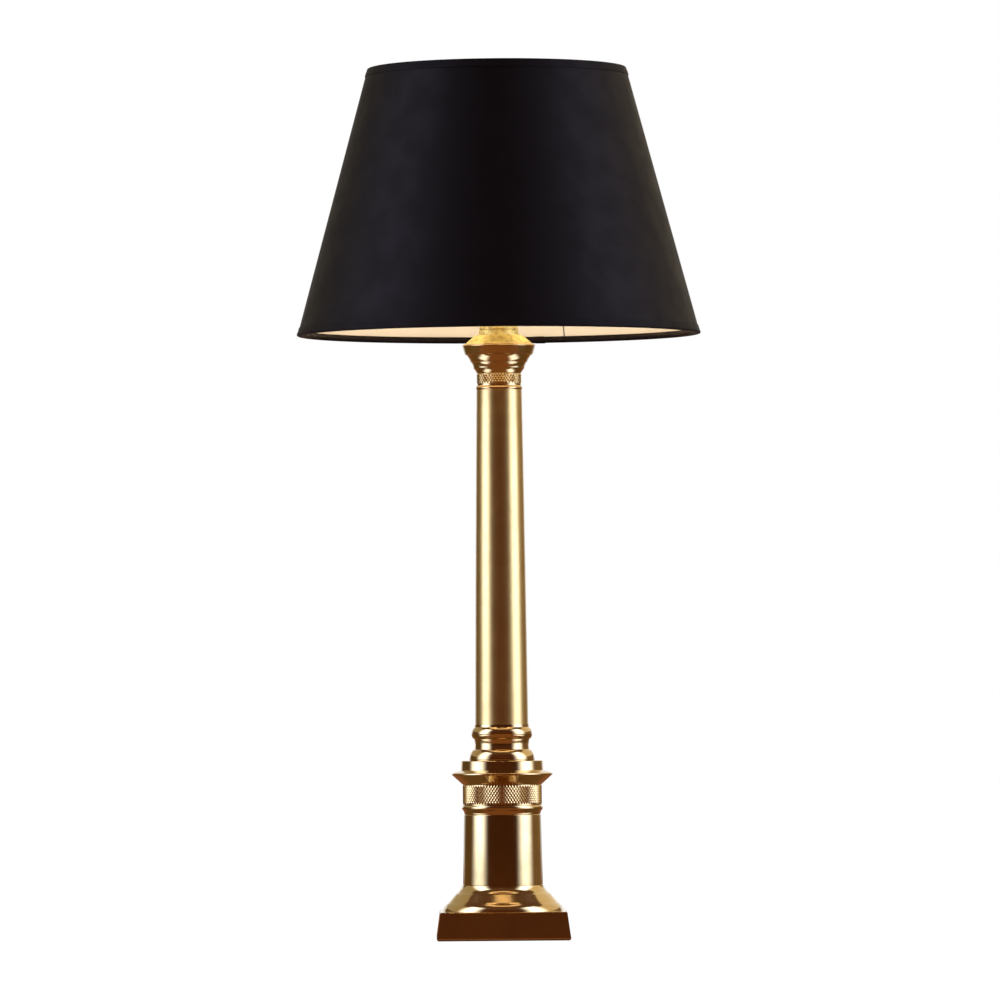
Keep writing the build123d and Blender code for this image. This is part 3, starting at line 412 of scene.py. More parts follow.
FINISHES: tuple[Finish, ...] = (
    Finish("antique_brass", BRASS, BRASS_AGED, 0.12, 1.0, spread=0.05, marks=0.3, extras=LACQUER),
    Finish(
        "antique_brass_drawn", (0.64, 0.44, 0.16), BRASS_AGED, 0.3, 1.0,
        marks=0.3, extras=LACQUER, nodes=("column_tube",),
    ),
    # Bright cast brass under the shade; its colour is lighter still, as painted light from the lit
    # shade.
    Finish(
        "antique_brass_cast", (0.84, 0.73, 0.29), BRASS_AGED, 0.48, 1.0,
        patch_size=4 * MM, patches=0.6, spread=0.2, marks=0.3, grain_depth=0.03 * MM,
        nodes=("capital_cone", "neck_ring_lower", "neck_ring_upper"),
    ),
    Finish("knurled_brass", BRASS, BRASS_AGED, 0.1, 1.0, patches=0.2, spread=0.02, marks=0.0),
    Finish("holder_brass", (0.74, 0.55, 0.26), BRASS_AGED, 0.2, 1.0, patches=0.15, marks=0.1),
    Finish("wire_brass", (0.70, 0.53, 0.27), BRASS_AGED, 0.25, 1.0, patches=0.15, marks=0.1),
    Finish("zinc_steel", (0.62, 0.62, 0.60), (0.42, 0.41, 0.38), 0.35, 1.0, patches=0.5),
    Finish(
        "grey_iron", (0.10, 0.10, 0.098), (0.16, 0.10, 0.06), 0.65, 0.6,
        patch_size=12 * MM, patches=0.5, grain_depth=0.12 * MM,
    ),
    Finish("porcelain", (0.86, 0.84, 0.80), (0.70, 0.66, 0.58), 0.42, patches=0.2, marks=0.0),
    Finish("contact_nickel", (0.68, 0.65, 0.58), (0.5, 0.45, 0.36), 0.28, 1.0, patches=0.2),
    Finish("black_resin", (0.03, 0.028, 0.026), (0.05, 0.048, 0.045), 0.22, marks=0.1),
    Finish("white_wire", (0.85, 0.84, 0.80), (0.70, 0.67, 0.60), 0.38, patches=0.15, marks=0.05),
    Finish(
        "opal_glass", (0.93, 0.91, 0.86), (0.88, 0.85, 0.78), 0.16,
        patches=0.1, spread=0.03, marks=0.0,
    ),
    Finish("cap_aluminium", (0.78, 0.78, 0.77), (0.60, 0.60, 0.58), 0.3, 1.0, patches=0.2),
    Finish(
        "clear_glass", (0.90, 0.93, 0.92), (0.85, 0.88, 0.87), 0.05,
        patches=0.1, spread=0.02, marks=0.0, extras=CLEAR,
    ),
    Finish("filament_coating", (0.85, 0.62, 0.15), (0.75, 0.5, 0.1), 0.6, patches=0.2, marks=0.0),
    Finish("support_nickel", (0.60, 0.60, 0.58), (0.45, 0.44, 0.42), 0.3, 1.0, patches=0.2),
    Cloth("black_fabric", BLACK, BLACK_GAPS, 0.58, extras=BLACK_SATIN),
    Cloth("black_edging", BLACK, BLACK_GAPS, 0.62, extras=BLACK_SATIN),
    Cloth(
        "cream_liner", (0.87, 0.79, 0.64), (0.78, 0.69, 0.54), 0.6,
        thread=0.3 * MM, thread_depth=0.01 * MM, seam_node="shade_liner",
    ),
    Cloth(
        "felt", (0.035, 0.035, 0.03), (0.02, 0.02, 0.018), 0.95,
        thread=0.8 * MM, slub=1.0, thread_depth=0.1 * MM,
    ),
)


class Palette:
    """Every finish of the record, built once, and the way it is put on a piece."""

    def __init__(self, finishes: Iterable[Finish]) -> None:
        """Build the shared groups and one material for each finish.

        Args:
            finishes: The finishes; one that names nodes takes them over from their own slot.
        """
        groups = {"surface_wear": surface_wear_group(), "woven_cloth": woven_cloth_group()}
        self.materials = {finish.slot: finish.material(groups) for finish in finishes}
        parts = frame["record"]["subparts"]
        self.slot_of = {part["node"]: part["material_slot"] for part in parts}
        for finish in finishes:
            self.slot_of.update(dict.fromkeys(finish.nodes, finish.slot))

    def paint(self, piece: bpy.types.Object, slot: str) -> None:
        """Put a slot's material on a piece, in its first material slot.

        Args:
            piece: The piece.
            slot: The slot's name.
        """
        if piece.material_slots:
            piece.material_slots[0].material = self.materials[slot]
        else:
            piece.data.materials.append(self.materials[slot])

    def dress_nodes(self) -> None:
        """Give every CAD node the material of its own slot."""
        for name, node in frame["nodes"].items():
            self.paint(node, self.slot_of[name])
            LOG.info("node %s in %s", name, self.slot_of[name])


# --- Meshes ---


def ring_at(node: str, z: float, within: float = 0.05 * MM) -> Point:
    """Find how far in and out a turned CAD node reaches at a height.

    Args:
        node: The CAD node's name.
        z: The height.
        within: How far from the height a corner may stand.

    Returns:
        The smallest and the largest radius of its corners there.
    """
    corners = [v.co for v in frame["nodes"][node].data.vertices if abs(v.co.z - z) < within]
    radii = [math.hypot(c.x, c.y) for c in corners]
    return min(radii), max(radii)


@dataclass(frozen=True)
class Cone:
    """The wall of a conical CAD node: its two heights, and its radii at the low and high one."""

    low: float
    high: float
    inner: Point
    outer: Point

    @classmethod
    def of(cls, node: str) -> "Cone":
        """Measure a CAD node by its name."""
        low, high = (corner.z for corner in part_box(node))
        inner, outer = zip(ring_at(node, low), ring_at(node, high))
        return cls(low, high, inner, outer)

    @property
    def slant(self) -> float:
        """Give the length of the outer face from edge to edge."""
        return math.hypot(self.outer[0] - self.outer[1], self.high - self.low)

    @property
    def fold(self) -> float:
        """Give the sine of the angle between the outer face and the lamp's axis."""
        return (self.outer[0] - self.outer[1]) / self.slant


def place_object(name: str, data: Any) -> bpy.types.Object:
    """Make an object of its data and link it to the scene."""
    made = bpy.data.objects.new(name, data)
    bpy.context.scene.collection.objects.link(made)
    return made


def mesh_of(name: str, made: bmesh.types.BMesh) -> bpy.types.Mesh:
    """Turn an edited mesh into a named one, and free it."""
    mesh = bpy.data.meshes.new(name)
    made.to_mesh(mesh)
    made.free()
    return mesh


def smooth(mesh: bpy.types.Mesh, angle: float = 35.0) -> None:
    """Shade a mesh smoothly, but for edges sharper than an angle in degrees."""
    mesh.shade_smooth()
    mesh.set_sharp_from_angle(angle=math.radians(angle))


def revolve(
    name: str, columns: Sequence[tuple[float, Outline]], uv: Callable[[int, int], Point]
) -> bpy.types.Object:
    """Skin a closed ring whose cross-section may change on the way round.

    Args:
        name: The piece's name.
        columns: The angle from +X in radians, and the closed outline in radius and height, of each
            cross-section; all have as many points.
        uv: Gives the map's place for the number of a column and of a point. The numbers run one
            past the last, where the ring and the outline close.

    Returns:
        The new piece.
    """
    made = bmesh.new()
    rings = [
        [made.verts.new((r * math.cos(angle), r * math.sin(angle), z)) for r, z in outline]
        for angle, outline in columns
    ]
    layer = made.loops.layers.uv.new("flat")
    points = len(rings[0])
    for i in range(len(rings)):
        for j in range(points):
            corners = ((i, j), (i + 1, j), (i + 1, j + 1), (i, j + 1))
            face = made.faces.new([rings[a % len(rings)][b % points] for a, b in corners])
            for loop, corner in zip(face.loops, corners):
                loop[layer].uv = uv(*corner)
    bmesh.ops.recalc_face_normals(made, faces=made.faces)
    mesh = mesh_of(name, made)
    smooth(mesh)
    return place_object(name, mesh)


def ribbon(path: Sequence[Point], thickness: float) -> Outline:
    """Give a path a thickness.

    Args:
        path: The middle line.
        thickness: The distance across.

    Returns:
        The closed outline, out along one side and back along the other.
    """
    sides: tuple[Outline, Outline] = ([], [])
    for n, (x, y) in enumerate(path):
        before, after = path[max(n - 1, 0)], path[min(n + 1, len(path) - 1)]
        dx, dy = after[0] - before[0], after[1] - before[1]
        length = math.hypot(dx, dy)
        for side, sign in zip(sides, (1, -1)):
            out_x, out_y = -sign * dy / length, sign * dx / length
            side.append((x + out_x * thickness / 2, y + out_y * thickness / 2))
    return sides[0] + sides[1][::-1]


def settle(piece: bpy.types.Object, body: Body, slot: str, *nodes: str) -> bpy.types.Object:
    """Hang a finished piece on its body, hide the CAD nodes it stands for, and log its slot.

    Args:
        piece: The piece.
        body: The body that it moves with.
        slot: The slot of its material.
        nodes: The CAD nodes that it stands for.

    Returns:
        The same piece.
    """
    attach(piece, body.value)
    if nodes:
        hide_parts(*nodes)
    LOG.info("piece %s on %s in %s", piece.name, body.value, slot)
    return piece


# --- Knurling ---


class KnurlTree:
    """A Geometry Nodes tree that sets pointed studs in staggered rows round a ring."""

    INPUTS = {
        "Geometry": ("Geometry",),
        "Float": ("Radius", "Bottom", "Half Width", "Half Height", "Depth"),
        "Int": ("Rows", "Around"),
        "Material": ("Material",),
    }
    SIDES = 4
    TIP = 0.08

    def __init__(self) -> None:
        """Build the tree."""
        self.tree = bpy.data.node_groups.new("knurl", "GeometryNodeTree")
        for kind, names in self.INPUTS.items():
            for name in names:
                self.tree.interface.new_socket(
                    name=name, in_out="INPUT", socket_type=f"NodeSocket{kind}"
                )
        self.tree.interface.new_socket(
            name="Geometry", in_out="OUTPUT", socket_type="NodeSocketGeometry"
        )
        board = Board(self.tree)
        given = board.add("NodeGroupInput").outputs
        count = board.maths("MULTIPLY", given["Rows"], given["Around"])
        index = board.add("GeometryNodeInputIndex").outputs[0]
        row = board.maths("FLOOR", board.maths("DIVIDE", index, given["Around"]))
        column = board.maths("MODULO", index, given["Around"])
        shift = board.maths("MULTIPLY", board.maths("MODULO", row, 2.0), 0.5)
        share = board.maths("DIVIDE", board.maths("ADD", column, shift), given["Around"])
        angle = board.maths("MULTIPLY", share, TURN)
        place = {
            0: board.maths("MULTIPLY", board.maths("COSINE", angle), given["Radius"]),
            1: board.maths("MULTIPLY", board.maths("SINE", angle), given["Radius"]),
            2: board.maths(
                "MULTIPLY_ADD",
                board.maths("ADD", row, 1.0), given["Half Height"], given["Bottom"],
            ),
        }
        spot = board.add("ShaderNodeCombineXYZ", place).outputs[0]
        points = board.add("GeometryNodePoints", {"Count": count, "Position": spot})
        shape = {
            "Vertices": self.SIDES, "Radius Top": self.TIP, "Radius Bottom": 1.0, "Depth": 1.0
        }
        stud = board.add("GeometryNodeMeshCone", shape, fill_type="NGON")
        turned = board.add("ShaderNodeCombineXYZ", {0: 0.0, 1: math.pi / 2, 2: angle})
        outward = board.add("FunctionNodeEulerToRotation", {0: turned.outputs[0]})
        sizes = {0: given["Half Height"], 1: given["Half Width"], 2: given["Depth"]}
        size = board.add("ShaderNodeCombineXYZ", sizes)
        studs = board.add(
            "GeometryNodeInstanceOnPoints",
            {
                "Points": points.outputs[0],
                "Instance": stud.outputs[0],
                "Rotation": outward.outputs[0],
                "Scale": size.outputs[0],
            },
        )
        solid = board.add("GeometryNodeRealizeInstances", {0: studs.outputs[0]}).outputs[0]
        facets = {"Geometry": solid, "Shade Smooth": False}
        flat = board.add("GeometryNodeSetShadeSmooth", facets).outputs[0]
        joined = board.add("GeometryNodeJoinGeometry", {0: flat})
        self.tree.links.new(given["Geometry"], joined.inputs[0])
        painted = board.add(
            "GeometryNodeSetMaterial",
            {"Geometry": joined.outputs[0], "Material": given["Material"]},
        )
        board.add("NodeGroupOutput", {0: painted.outputs[0]})

    def grow(self, ring: bpy.types.Object, values: dict[str, Any]) -> None:
        """Grow the studs on a ring and make the result its plain mesh.

        Args:
            ring: The piece that carries them.
            values: A value for each input by name.
        """
        modifier = ring.modifiers.new("knurl", "NODES")
        modifier.node_group = self.tree
        for item in self.tree.interface.items_tree:
            if item.item_type == "SOCKET" and item.name in values:
                modifier[item.identifier] = values[item.name]
        shown = ring.evaluated_get(bpy.context.evaluated_depsgraph_get())
        mesh = bpy.data.meshes.new_from_object(shown)
        ring.modifiers.remove(modifier)
        ring.data = mesh


@dataclass(frozen=True)
class KnurledBand:
    """A collar with pointed studs rolled into its outer face."""

    node: str
    body: Body
    slot: str
    half_width: float
    half_height: float
    depth: float
    border: float
    sunk: float = 0.02 * MM
    weld: float = 0.002 * MM
    spigot_step: float = 0.6 * MM

    def build(self, tree: KnurlTree, palette: Palette) -> bpy.types.Object:
        """Copy the collar, sink its outer face and grow the studs on it.

        Args:
            tree: The knurling tree.
            palette: Where the material comes from.

        Returns:
            The finished collar.
        """
        low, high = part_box(self.node)
        radius, floor = high.x, high.x - self.depth
        ring = self.copy_collar()
        made = bmesh.new()
        made.from_mesh(ring.data)
        bmesh.ops.remove_doubles(made, verts=made.verts, dist=self.weld)
        for vertex in made.verts:
            reach = math.hypot(vertex.co.x, vertex.co.y)
            if reach > floor:
                vertex.co.x *= floor / reach
                vertex.co.y *= floor / reach
        made.to_mesh(ring.data)
        made.free()
        ring.data.materials.clear()
        palette.paint(ring, self.slot)
        smooth(ring.data)
        bottom, top = low.z + self.border, min(high.z, self.shoulder()) - self.border
        columns = round(math.pi * radius / self.half_width)
        rows = max(1, round((top - bottom) / self.half_height) - 1)
        tree.grow(
            ring,
            {
                "Radius": floor - self.sunk,
                "Bottom": bottom,
                "Half Width": math.pi * radius / columns,
                "Half Height": (top - bottom) / (rows + 1),
                "Depth": self.depth + self.sunk,
                "Rows": rows,
                "Around": columns,
                "Material": palette.materials[self.slot],
            },
        )
        return settle(ring, self.body, self.slot, self.node)

    def copy_collar(self) -> bpy.types.Object:
        """Copy the CAD collar as a free object with a mesh of its own."""
        ring = frame["nodes"][self.node].copy()
        ring.data = ring.data.copy()
        ring.name = f"{self.node}_cut"
        for key in list(ring.keys()):
            del ring[key]
        ring.parent = None
        bpy.context.scene.collection.objects.link(ring)
        return ring

    def shoulder(self) -> float:
        """Find the height at which the collar's outer face ends and its spigot begins."""
        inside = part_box(self.node)[1].x - self.spigot_step
        corners = [v.co for v in frame["nodes"][self.node].data.vertices]
        return max(c.z for c in corners if math.hypot(c.x, c.y) > inside)


# --- Shade ---


SEAM = math.radians(69.54)
EDGING_SEAM = math.radians(75.64)
STEP = math.radians(0.03)
LAP_FALL = ((1.0, 1.0), (1.4, 0.6), (2.0, 0.0))


def around(seam: float, lap: float, segments: int = 192) -> list[tuple[float, float]]:
    """List the columns of a wrapped skin.

    Args:
        seam: The angle of the free end, from +X in radians.
        lap: The angle over which the two ends lie on each other.
        segments: How many columns the rest of the ring has.

    Returns:
        The angle of each column and how much it is lifted, from 0 to 1.
    """
    columns = [(seam, 0.0), (seam + STEP, 1.0)]
    columns += [(seam + share * lap, lifted) for share, lifted in LAP_FALL]
    start = columns[-1][0]
    rest = TURN - (start - seam)
    return columns + [(start + rest * n / segments, 0.0) for n in range(1, segments)]


@dataclass(frozen=True)
class Skin:
    """A conical skin of the shade, wrapped round and glued down at one seam."""

    node: str
    slot: str
    name: str
    seam: float
    lap: float
    lift: float
    rows: int = 10

    def build(self, palette: Palette) -> bpy.types.Object:
        """Wrap the skin.

        Args:
            palette: Where the material comes from.

        Returns:
            The skin as one closed piece.
        """
        cone = Cone.of(self.node)
        columns = []
        for angle, lifted in around(self.seam, self.lap / cone.outer[0]):
            outer, inner = (
                self.line(radii, lift * lifted, cone)
                for radii, lift in (
                    (cone.outer, max(self.lift, 0.0)), (cone.inner, min(self.lift, 0.0))
                )
            )
            columns.append((angle, outer + inner[::-1]))
        apex = cone.outer[0] / cone.fold
        front = self.seam + math.pi
        points = 2 * self.rows + 2

        def flat(i: int, j: int) -> Point:
            """Place a corner on the flat cut of the cone."""
            row = min(j % points, points - 1 - j % points)
            reach = apex - cone.slant * row / self.rows
            angle = columns[i][0] if i < len(columns) else self.seam + TURN
            bend = (angle - front) * cone.fold
            return reach * math.sin(bend), reach * math.cos(bend)

        piece = revolve(self.name, columns, flat)
        palette.paint(piece, self.slot)
        return settle(piece, Body.SHADE, self.slot, self.node)

    def line(self, radii: Point, lift: float, cone: Cone) -> Outline:
        """Divide one face of the wall into the skin's rows.

        Args:
            radii: The face's radii at the low and the high edge.
            lift: How far it is lifted outwards.
            cone: The wall.

        Returns:
            The points from the low edge to the high one.
        """
        start, end = (radii[0] + lift, cone.low), (radii[1] + lift, cone.high)
        steps = [n / self.rows for n in range(self.rows + 1)]
        return [
            (start[0] + (end[0] - start[0]) * s, start[1] + (end[1] - start[1]) * s) for s in steps
        ]

    def flat_cut(self) -> tuple[tuple[float, float], float]:
        """Work out the flat cut of the skin: its width and length, and its area."""
        cone = Cone.of(self.node)
        outer, inner = (radius / cone.fold for radius in cone.outer)
        spread = TURN * cone.fold
        width = 2 * outer * math.sin(spread / 2)
        length = outer - inner * math.cos(spread / 2)
        return (width, length), spread / 2 * (outer**2 - inner**2)


@dataclass(frozen=True)
class RolledStrip:
    """The strip of cloth rolled round a wire at an edge of the shade."""

    node: str
    wire: str
    liner: str
    edge: Edge
    name: str
    slot: str = "black_edging"
    thickness: float = 0.45 * MM
    outer_h: float = 7.0 * MM
    straight_h: float = 4.0 * MM
    inner_h: float = 5.4 * MM
    corner: float = 1.3 * MM
    corner_steps: int = 4
    wire_gap: float = 0.15 * MM
    wire_wrap: float = 160.0
    wire_steps: int = 8
    liner_gap: float = 0.1 * MM
    lap: float = 7.0 * MM
    lap_swell: float = 2.0

    def build(self, palette: Palette) -> bpy.types.Object:
        """Roll the strip round its wire.

        Args:
            palette: Where the material comes from.

        Returns:
            The strip as one closed piece.
        """
        edge_r, path = self.path()
        lengths = [0.0]
        for a, b in zip(path, path[1:]):
            lengths.append(lengths[-1] + math.dist(a, b))
        columns = [
            (angle, ribbon(path, self.thickness * (1 + self.lap_swell * lifted)))
            for angle, lifted in around(EDGING_SEAM, self.lap / edge_r)
        ]
        points = 2 * len(path)

        def strip(i: int, j: int) -> Point:
            """Place a corner along and across the strip."""
            across = lengths[min(j % points, points - 1 - j % points)]
            angle = columns[i][0] if i < len(columns) else EDGING_SEAM + TURN
            return edge_r * angle, across

        piece = revolve(self.name, columns, strip)
        palette.paint(piece, self.slot)
        return settle(piece, Body.SHADE, self.slot, self.node)

    def path(self) -> tuple[float, Outline]:
        """Lay the strip's middle line: down the outer face, round the wire, up the liner.

        Returns:
            The shade's radius at this edge, and the line.
        """
        up = self.edge.value
        edge_z, far_z = (corner.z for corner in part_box(self.node)[::up])
        edge_r, far_r = ring_at(self.node, edge_z)[1], ring_at(self.node, far_z)[1]
        slope = (far_r - edge_r) / (far_z - edge_z)
        half = self.thickness / 2
        path = [
            (edge_r + up * height * slope - half, edge_z + up * height)
            for height in (self.outer_h, self.straight_h)
        ]
        bend = self.corner - half
        for step in range(self.corner_steps + 1):
            turn = math.radians(90 * step / self.corner_steps)
            out, down = bend * math.cos(turn), bend * math.sin(turn)
            path.append((edge_r - self.corner + out, edge_z + up * (self.corner - down)))
        wire_low, wire_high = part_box(self.wire)
        wire_z, wire_size = (wire_low.z + wire_high.z) / 2, (wire_high.z - wire_low.z) / 2
        wire_r = wire_high.x - wire_size
        round_wire = wire_size + self.wire_gap + half
        for step in range(self.wire_steps + 1):
            turn = math.radians(90 + self.wire_wrap * step / self.wire_steps)
            out, down = round_wire * math.cos(turn), round_wire * math.sin(turn)
            path.append((wire_r + out, wire_z - up * down))
        liner_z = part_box(self.liner)[::up][0].z
        tuck_z = edge_z + up * self.inner_h
        tuck_r = ring_at(self.liner, liner_z)[0] + (tuck_z - liner_z) * slope
        path.append((tuck_r - half - self.liner_gap, tuck_z))
        return edge_r, path


class Shade:
    """The tapered shade: a black cover, a cream liner and two rolled edges."""

    def __init__(self, palette: Palette) -> None:
        """Size the parts.

        Args:
            palette: Where the materials come from.
        """
        self.palette = palette
        self.cover = Skin("shade_cover", "black_fabric", "cover_cloth", SEAM, 9.0 * MM, 0.3 * MM)
        self.liner = Skin("shade_liner", "cream_liner", "liner_cloth", SEAM, 8.0 * MM, -0.3 * MM)
        self.strips = [
            RolledStrip(
                f"shade_{side}_trim", f"shade_{side}_wire", "shade_liner", edge, f"{side}_edging"
            )
            for side, edge in (("top", Edge.TOP), ("bottom", Edge.BOTTOM))
        ]

    def build(self) -> None:
        edgings = [strip.build(self.palette) for strip in self.strips]
        cover = self.cover.build(self.palette)
        liner = self.liner.build(self.palette)
        flat, area = self.cover.flat_cut()
        flat, area = self.liner.flat_cut()


# --- Stand ---


@dataclass(frozen=True)
class FeltPad:
    """The felt glued under the plinth."""

    node: str = "felt_pad"
    slot: str = "felt"
    name: str = "felt_cloth"
    corner: float = 1.5 * MM
    round_steps: int = 4

    def build(self, palette: Palette) -> bpy.types.Object:
        """Cut the felt to the size of its CAD node.

        Args:
            palette: Where the material comes from.

        Returns:
            The felt as one closed piece.
        """
        low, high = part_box(self.node)
        half = high.x - self.corner
        corners = []
        for quarter, (x, y) in enumerate(((1, 1), (-1, 1), (-1, -1), (1, -1))):
            for step in range(self.round_steps + 1):
                turn = math.radians(90 * (quarter + step / self.round_steps))
                out, along = self.corner * math.cos(turn), self.corner * math.sin(turn)
                corners.append((x * half + out, y * half + along))
        made = bmesh.new()
        bottom, top = ([made.verts.new((x, y, z)) for x, y in corners] for z in (low.z, high.z))
        made.faces.new(top)
        made.faces.new(bottom[::-1])
        for n in range(len(corners)):
            made.faces.new((bottom[n - 1], bottom[n], top[n], top[n - 1]))
        layer = made.loops.layers.uv.new("flat")
        for face in made.faces:
            for loop in face.loops:
                x, y, z = loop.vert.co
                loop[layer].uv = x + z, y + z
        bmesh.ops.recalc_face_normals(made, faces=made.faces)
        piece = place_object(self.name, mesh_of(self.name, made))
        palette.paint(piece, self.slot)
        settle(piece, Body.STAND, self.slot, self.node)
        return piece


class Stand:
    """The brass stand: its felt, and the collars whose faces are knurled."""

    def __init__(self, palette: Palette) -> None:
        """Size the parts.

        Args:
            palette: Where the materials come from.
        """
        self.palette = palette
        self.felt = FeltPad()
        self.bands = [
            KnurledBand(
                node, Body.STAND, "knurled_brass", 1.3 * MM, 1.9 * MM, depth, border=0.05 * MM
            )
            for node, depth in (
                ("lower_knurled_collar", 0.42 * MM), ("upper_knurled_collar", 0.3 * MM)
            )
        ]
        self.bands.append(
            KnurledBand(
                "shade_ring", Body.CLAMP, "holder_brass", 1.0 * MM, 2.5 * MM, 0.5 * MM,
                border=0.5 * MM,
            )
        )

    def build(self) -> None:
        """Build the felt and the bands."""
        self.felt.build(self.palette)
        tree = KnurlTree()
        for band in self.bands:
            band.build(tree, self.palette)


@dataclass(frozen=True)
class BulbLight:
    """A weak warm light in the bulb, which shines on the liner."""

    node: str = "bulb_envelope"
    power: float = 1.1
    color: Color = (1.0, 0.83, 0.61)
    radius: float = 0.02

    def build(self) -> None:
        """Put the light in the round of the bulb, whose glass it shines through."""
        low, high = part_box(self.node)
        data = bpy.data.lights.new("bulb_light", "POINT")
        data.energy, data.color, data.shadow_soft_size = self.power, self.color, self.radius
        lamp = place_object("bulb_light", data)
        lamp.location = (0.0, 0.0, high.z - (high.x - low.x) / 2)
        frame["nodes"][self.node].visible_shadow = False
        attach(lamp, Body.BULB.value)


# --- Studio ---


@dataclass(frozen=True)
class Card:
    """A curved card round the lamp, seen by reflections only.

    It runs round the lamp between two angles, in degrees from the camera towards +X, and from one
    radius and height to another.
    """

    name: str
    start: float
    end: float
    near: Point
    far: Point
    glow: Color
    feather: float = 0.0
    steps: int = 32

    def build(self, turned: float) -> None:
        """Build the card.

        Args:
            turned: The camera's angle in degrees, which the card turns with.
        """
        made = bmesh.new()
        layer = made.loops.layers.uv.new("flat")
        sides = []
        for n in range(self.steps + 1):
            turn = math.radians(turned + self.start + (self.end - self.start) * n / self.steps)
            x, y = math.sin(turn), -math.cos(turn)
            sides.append([made.verts.new((r * x, r * y, z)) for r, z in (self.near, self.far)])
        for n in range(self.steps):
            places = ((n, 0), (n + 1, 0), (n + 1, 1), (n, 1))
            face = made.faces.new([sides[u][v] for u, v in places])
            for loop, (u, v) in zip(face.loops, places):
                loop[layer].uv = u / self.steps, v
        mesh = mesh_of(self.name, made)
        mesh.materials.append(self.material())
        card = place_object(self.name, mesh)
        for ray in ("camera", "diffuse", "transmission", "volume_scatter", "shadow"):
            setattr(card, f"visible_{ray}", False)

    def material(self) -> bpy.types.Material:
        """Build a glow that fades out towards the card's upright edges.

        Returns:
            The material, named after the card.
        """
        made, board = new_material(self.name)
        light = board.add("ShaderNodeEmission", {"Color": self.glow, "Strength": 1.0}).outputs[0]
        if self.feather:
            place = board.add("ShaderNodeTexCoord").outputs["UV"]
            across = board.add("ShaderNodeSeparateXYZ", {0: place}).outputs[0]
            inside = board.maths("MINIMUM", across, board.maths("SUBTRACT", 1.0, across))
            fade = board.ramp(inside, 0.0, self.feather)
            clear = board.add("ShaderNodeBsdfTransparent").outputs[0]
            light = board.add("ShaderNodeMixShader", {0: fade, 1: clear, 2: light}).outputs[0]
        board.add("ShaderNodeOutputMaterial", {"Surface": light})
        return made


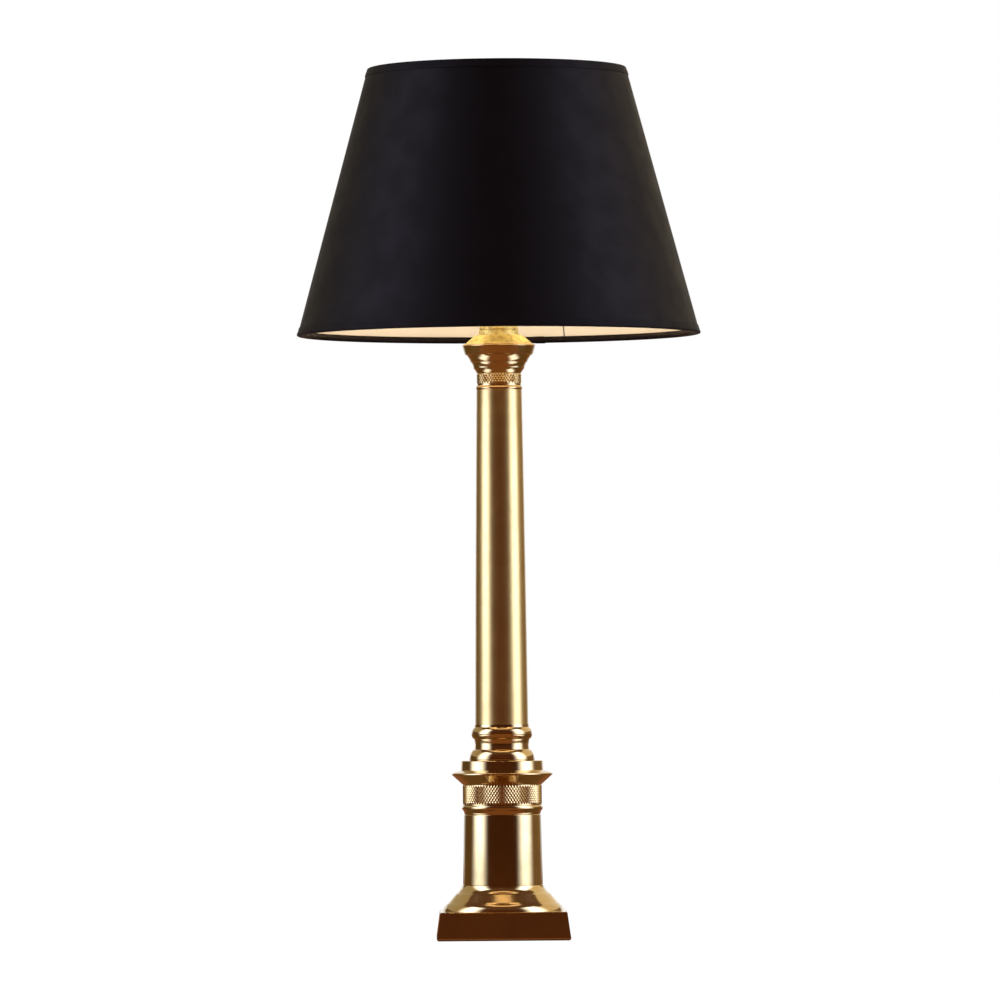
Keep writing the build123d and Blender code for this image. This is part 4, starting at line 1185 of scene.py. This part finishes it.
class Studio:
    """A plain white room with soft light, and a camera at the height of the column's foot."""

    LENS = 278.6
    SENSOR = 36.0
    CLIP = (0.1, 100.0)
    DISTANCE = 6.70
    HEIGHT = 0.231
    PITCH = 1.27
    ROLL = -0.45
    TURNED = -0.6

    WHITE = (1.0, 1.0, 1.0)
    ROOM_COLOR = (1.0, 0.99, 0.97)
    ROOM_STRENGTH = 0.7
    FLOOR_COLOR = (0.80, 0.80, 0.80)
    FLOOR_REACH = 12.0
    FLOOR_GLOW = 1.12
    FLOOR_SHARE = 0.82

    LAMPS = (("left_lamp", -2.4, 24.0), ("right_lamp", 2.4, 30.0))
    LAMP_PLACE = (-1.4, 1.3)
    LAMP_SIZE = (1.2, 2.0)
    LAMP_AIM = Vector((0.0, 0.0, 0.4))

    SOFTBOX_LOW = (1.9, 2.3, 3.1)
    SOFTBOX = (3.2, 3.8, 5.4)
    POOL = (2.2, 2.5, 3.3)
    TABLE = (0.17, 0.095, 0.032)
    CARDS = (
        Card("front_drape_low", -60.0, 60.0, (3.0, 0.0), (3.0, 0.4), (0.05, 0.017, 0.006)),
        Card("front_drape", -60.0, 60.0, (3.0, 0.4), (3.0, 3.2), (0.105, 0.038, 0.017)),
        Card("left_drape", -150.0, -60.0, (3.0, 0.0), (3.0, 0.8), (0.14, 0.085, 0.03), 0.03),
        Card("right_drape", 60.0, 150.0, (3.0, 0.0), (3.0, 0.8), (0.26, 0.17, 0.08), 0.03),
        Card("left_drape_high", -170.0, -60.0, (3.0, 0.8), (3.0, 3.2), (0.5, 0.43, 0.27), 0.1),
        Card("right_drape_high", 60.0, 170.0, (3.0, 0.8), (3.0, 3.2), (0.95, 0.82, 0.55), 0.1),
        Card("left_softbox_low", -108.0, -40.0, (1.8, 0.01), (1.8, 0.09), SOFTBOX_LOW, 0.5),
        Card("right_softbox_low", 37.0, 104.0, (1.8, 0.01), (1.8, 0.09), SOFTBOX_LOW, 0.46),
        Card("left_softbox", -104.0, -42.0, (1.8, 0.09), (1.8, 2.6), SOFTBOX, 0.42),
        Card("right_softbox", 40.0, 104.0, (1.8, 0.09), (1.8, 2.6), SOFTBOX, 0.42),
        Card("dark_table", -180.0, 180.0, (0.03, 0.002), (3.0, 0.002), (0.27, 0.11, 0.04)),
        Card("left_table", -150.0, -62.0, (0.03, 0.003), (3.0, 0.003), TABLE, 0.2),
        Card("right_table", 62.0, 150.0, (0.03, 0.003), (3.0, 0.003), TABLE, 0.2),
        Card("left_pool", -104.0, -42.0, (0.34, 0.004), (0.8, 0.004), POOL, 0.42),
        Card("right_pool", 40.0, 104.0, (0.34, 0.004), (0.8, 0.004), POOL, 0.42),
        Card("dark_ceiling", -180.0, 180.0, (3.0, 3.2), (0.0, 3.2), (0.15, 0.08, 0.045)),
    )

    def build(self) -> None:
        """Set up the whole studio."""
        self.camera()
        self.floor()
        self.world()
        self.lamps()
        for card in self.CARDS:
            card.build(self.TURNED)
        bpy.context.scene.view_settings.view_transform = "Standard"

    def camera(self) -> None:
        """Stand the camera in front of the lamp, a little below the middle, tilted up."""
        data = bpy.data.cameras.new("camera")
        data.lens, data.sensor_width = self.LENS, self.SENSOR
        data.clip_start, data.clip_end = self.CLIP
        camera = place_object("camera", data)
        turned = Matrix.Rotation(math.radians(self.TURNED), 4, "Z")
        place = Matrix.Translation((0.0, -self.DISTANCE, self.HEIGHT))
        tilt = Matrix.Rotation(math.radians(90 + self.PITCH), 4, "X")
        roll = Matrix.Rotation(math.radians(self.ROLL), 4, "Z")
        camera.matrix_world = turned @ place @ tilt @ roll
        bpy.context.scene.camera = camera

    def floor(self) -> None:
        """Lay a pale floor that keeps a soft shadow and lets a view from below through."""
        mesh = bpy.data.meshes.new("floor")
        sides = ((-1, -1), (1, -1), (1, 1), (-1, 1))
        corners = [(x * self.FLOOR_REACH, y * self.FLOOR_REACH, 0.0) for x, y in sides]
        mesh.from_pydata(corners, [], [(0, 1, 2, 3)])
        made, board = new_material("floor")
        path = board.add("ShaderNodeLightPath").outputs
        seen = board.maths("MAXIMUM", path["Is Camera Ray"], path["Is Transmission Ray"])
        share = board.maths("MULTIPLY", seen, self.FLOOR_SHARE)
        matt = board.add("ShaderNodeBsdfDiffuse", {"Color": self.FLOOR_COLOR}).outputs[0]
        glow = {"Color": self.WHITE, "Strength": self.FLOOR_GLOW}
        white = board.add("ShaderNodeEmission", glow).outputs[0]
        pale = board.add("ShaderNodeMixShader", {0: share, 1: matt, 2: white}).outputs[0]
        clear = board.add("ShaderNodeBsdfTransparent").outputs[0]
        under = board.add("ShaderNodeNewGeometry").outputs["Backfacing"]
        sided = board.add("ShaderNodeMixShader", {0: under, 1: pale, 2: clear}).outputs[0]
        board.add("ShaderNodeOutputMaterial", {"Surface": sided})
        mesh.materials.append(made)
        place_object("floor", mesh)

    def world(self) -> None:
        """Light the room evenly, and show it white to the camera, to metal and to glass."""
        world = bpy.data.worlds.new("room")
        bpy.context.scene.world = world
        world.use_nodes = True
        board = Board(world.node_tree)
        path = board.add("ShaderNodeLightPath").outputs
        seen = board.maths("MAXIMUM", path["Is Camera Ray"], path["Is Glossy Ray"])
        seen = board.maths("MAXIMUM", seen, path["Is Transmission Ray"])
        soft, white = (
            board.add("ShaderNodeBackground", {"Color": color, "Strength": strength}).outputs[0]
            for color, strength in ((self.ROOM_COLOR, self.ROOM_STRENGTH), (self.WHITE, 1.0))
        )
        mixed = board.add("ShaderNodeMixShader", {0: seen, 1: soft, 2: white}).outputs[0]
        board.add("ShaderNodeOutputWorld", {"Surface": mixed})

    def lamps(self) -> None:
        """Hang two wide soft lamps at the sides, out of every reflection."""
        for name, x, power in self.LAMPS:
            data = bpy.data.lights.new(name, "AREA")
            data.shape, data.energy = "RECTANGLE", power
            data.size, data.size_y = self.LAMP_SIZE
            lamp = place_object(name, data)
            lamp.location = (x, *self.LAMP_PLACE)
            aim = self.LAMP_AIM - lamp.location
            lamp.rotation_euler = aim.to_track_quat("-Z", "Y").to_euler()
            lamp.visible_glossy = False
            lamp.visible_camera = False


def main() -> None:
    """Dress the frame, and build the pieces and the studio."""
    logging.basicConfig(level=logging.INFO, format="%(name)s: %(message)s")
    palette = Palette(FINISHES)
    palette.dress_nodes()
    Stand(palette).build()
    Shade(palette).build()
    BulbLight().build()
    Studio().build()


if __name__ == "__main__":
    main()
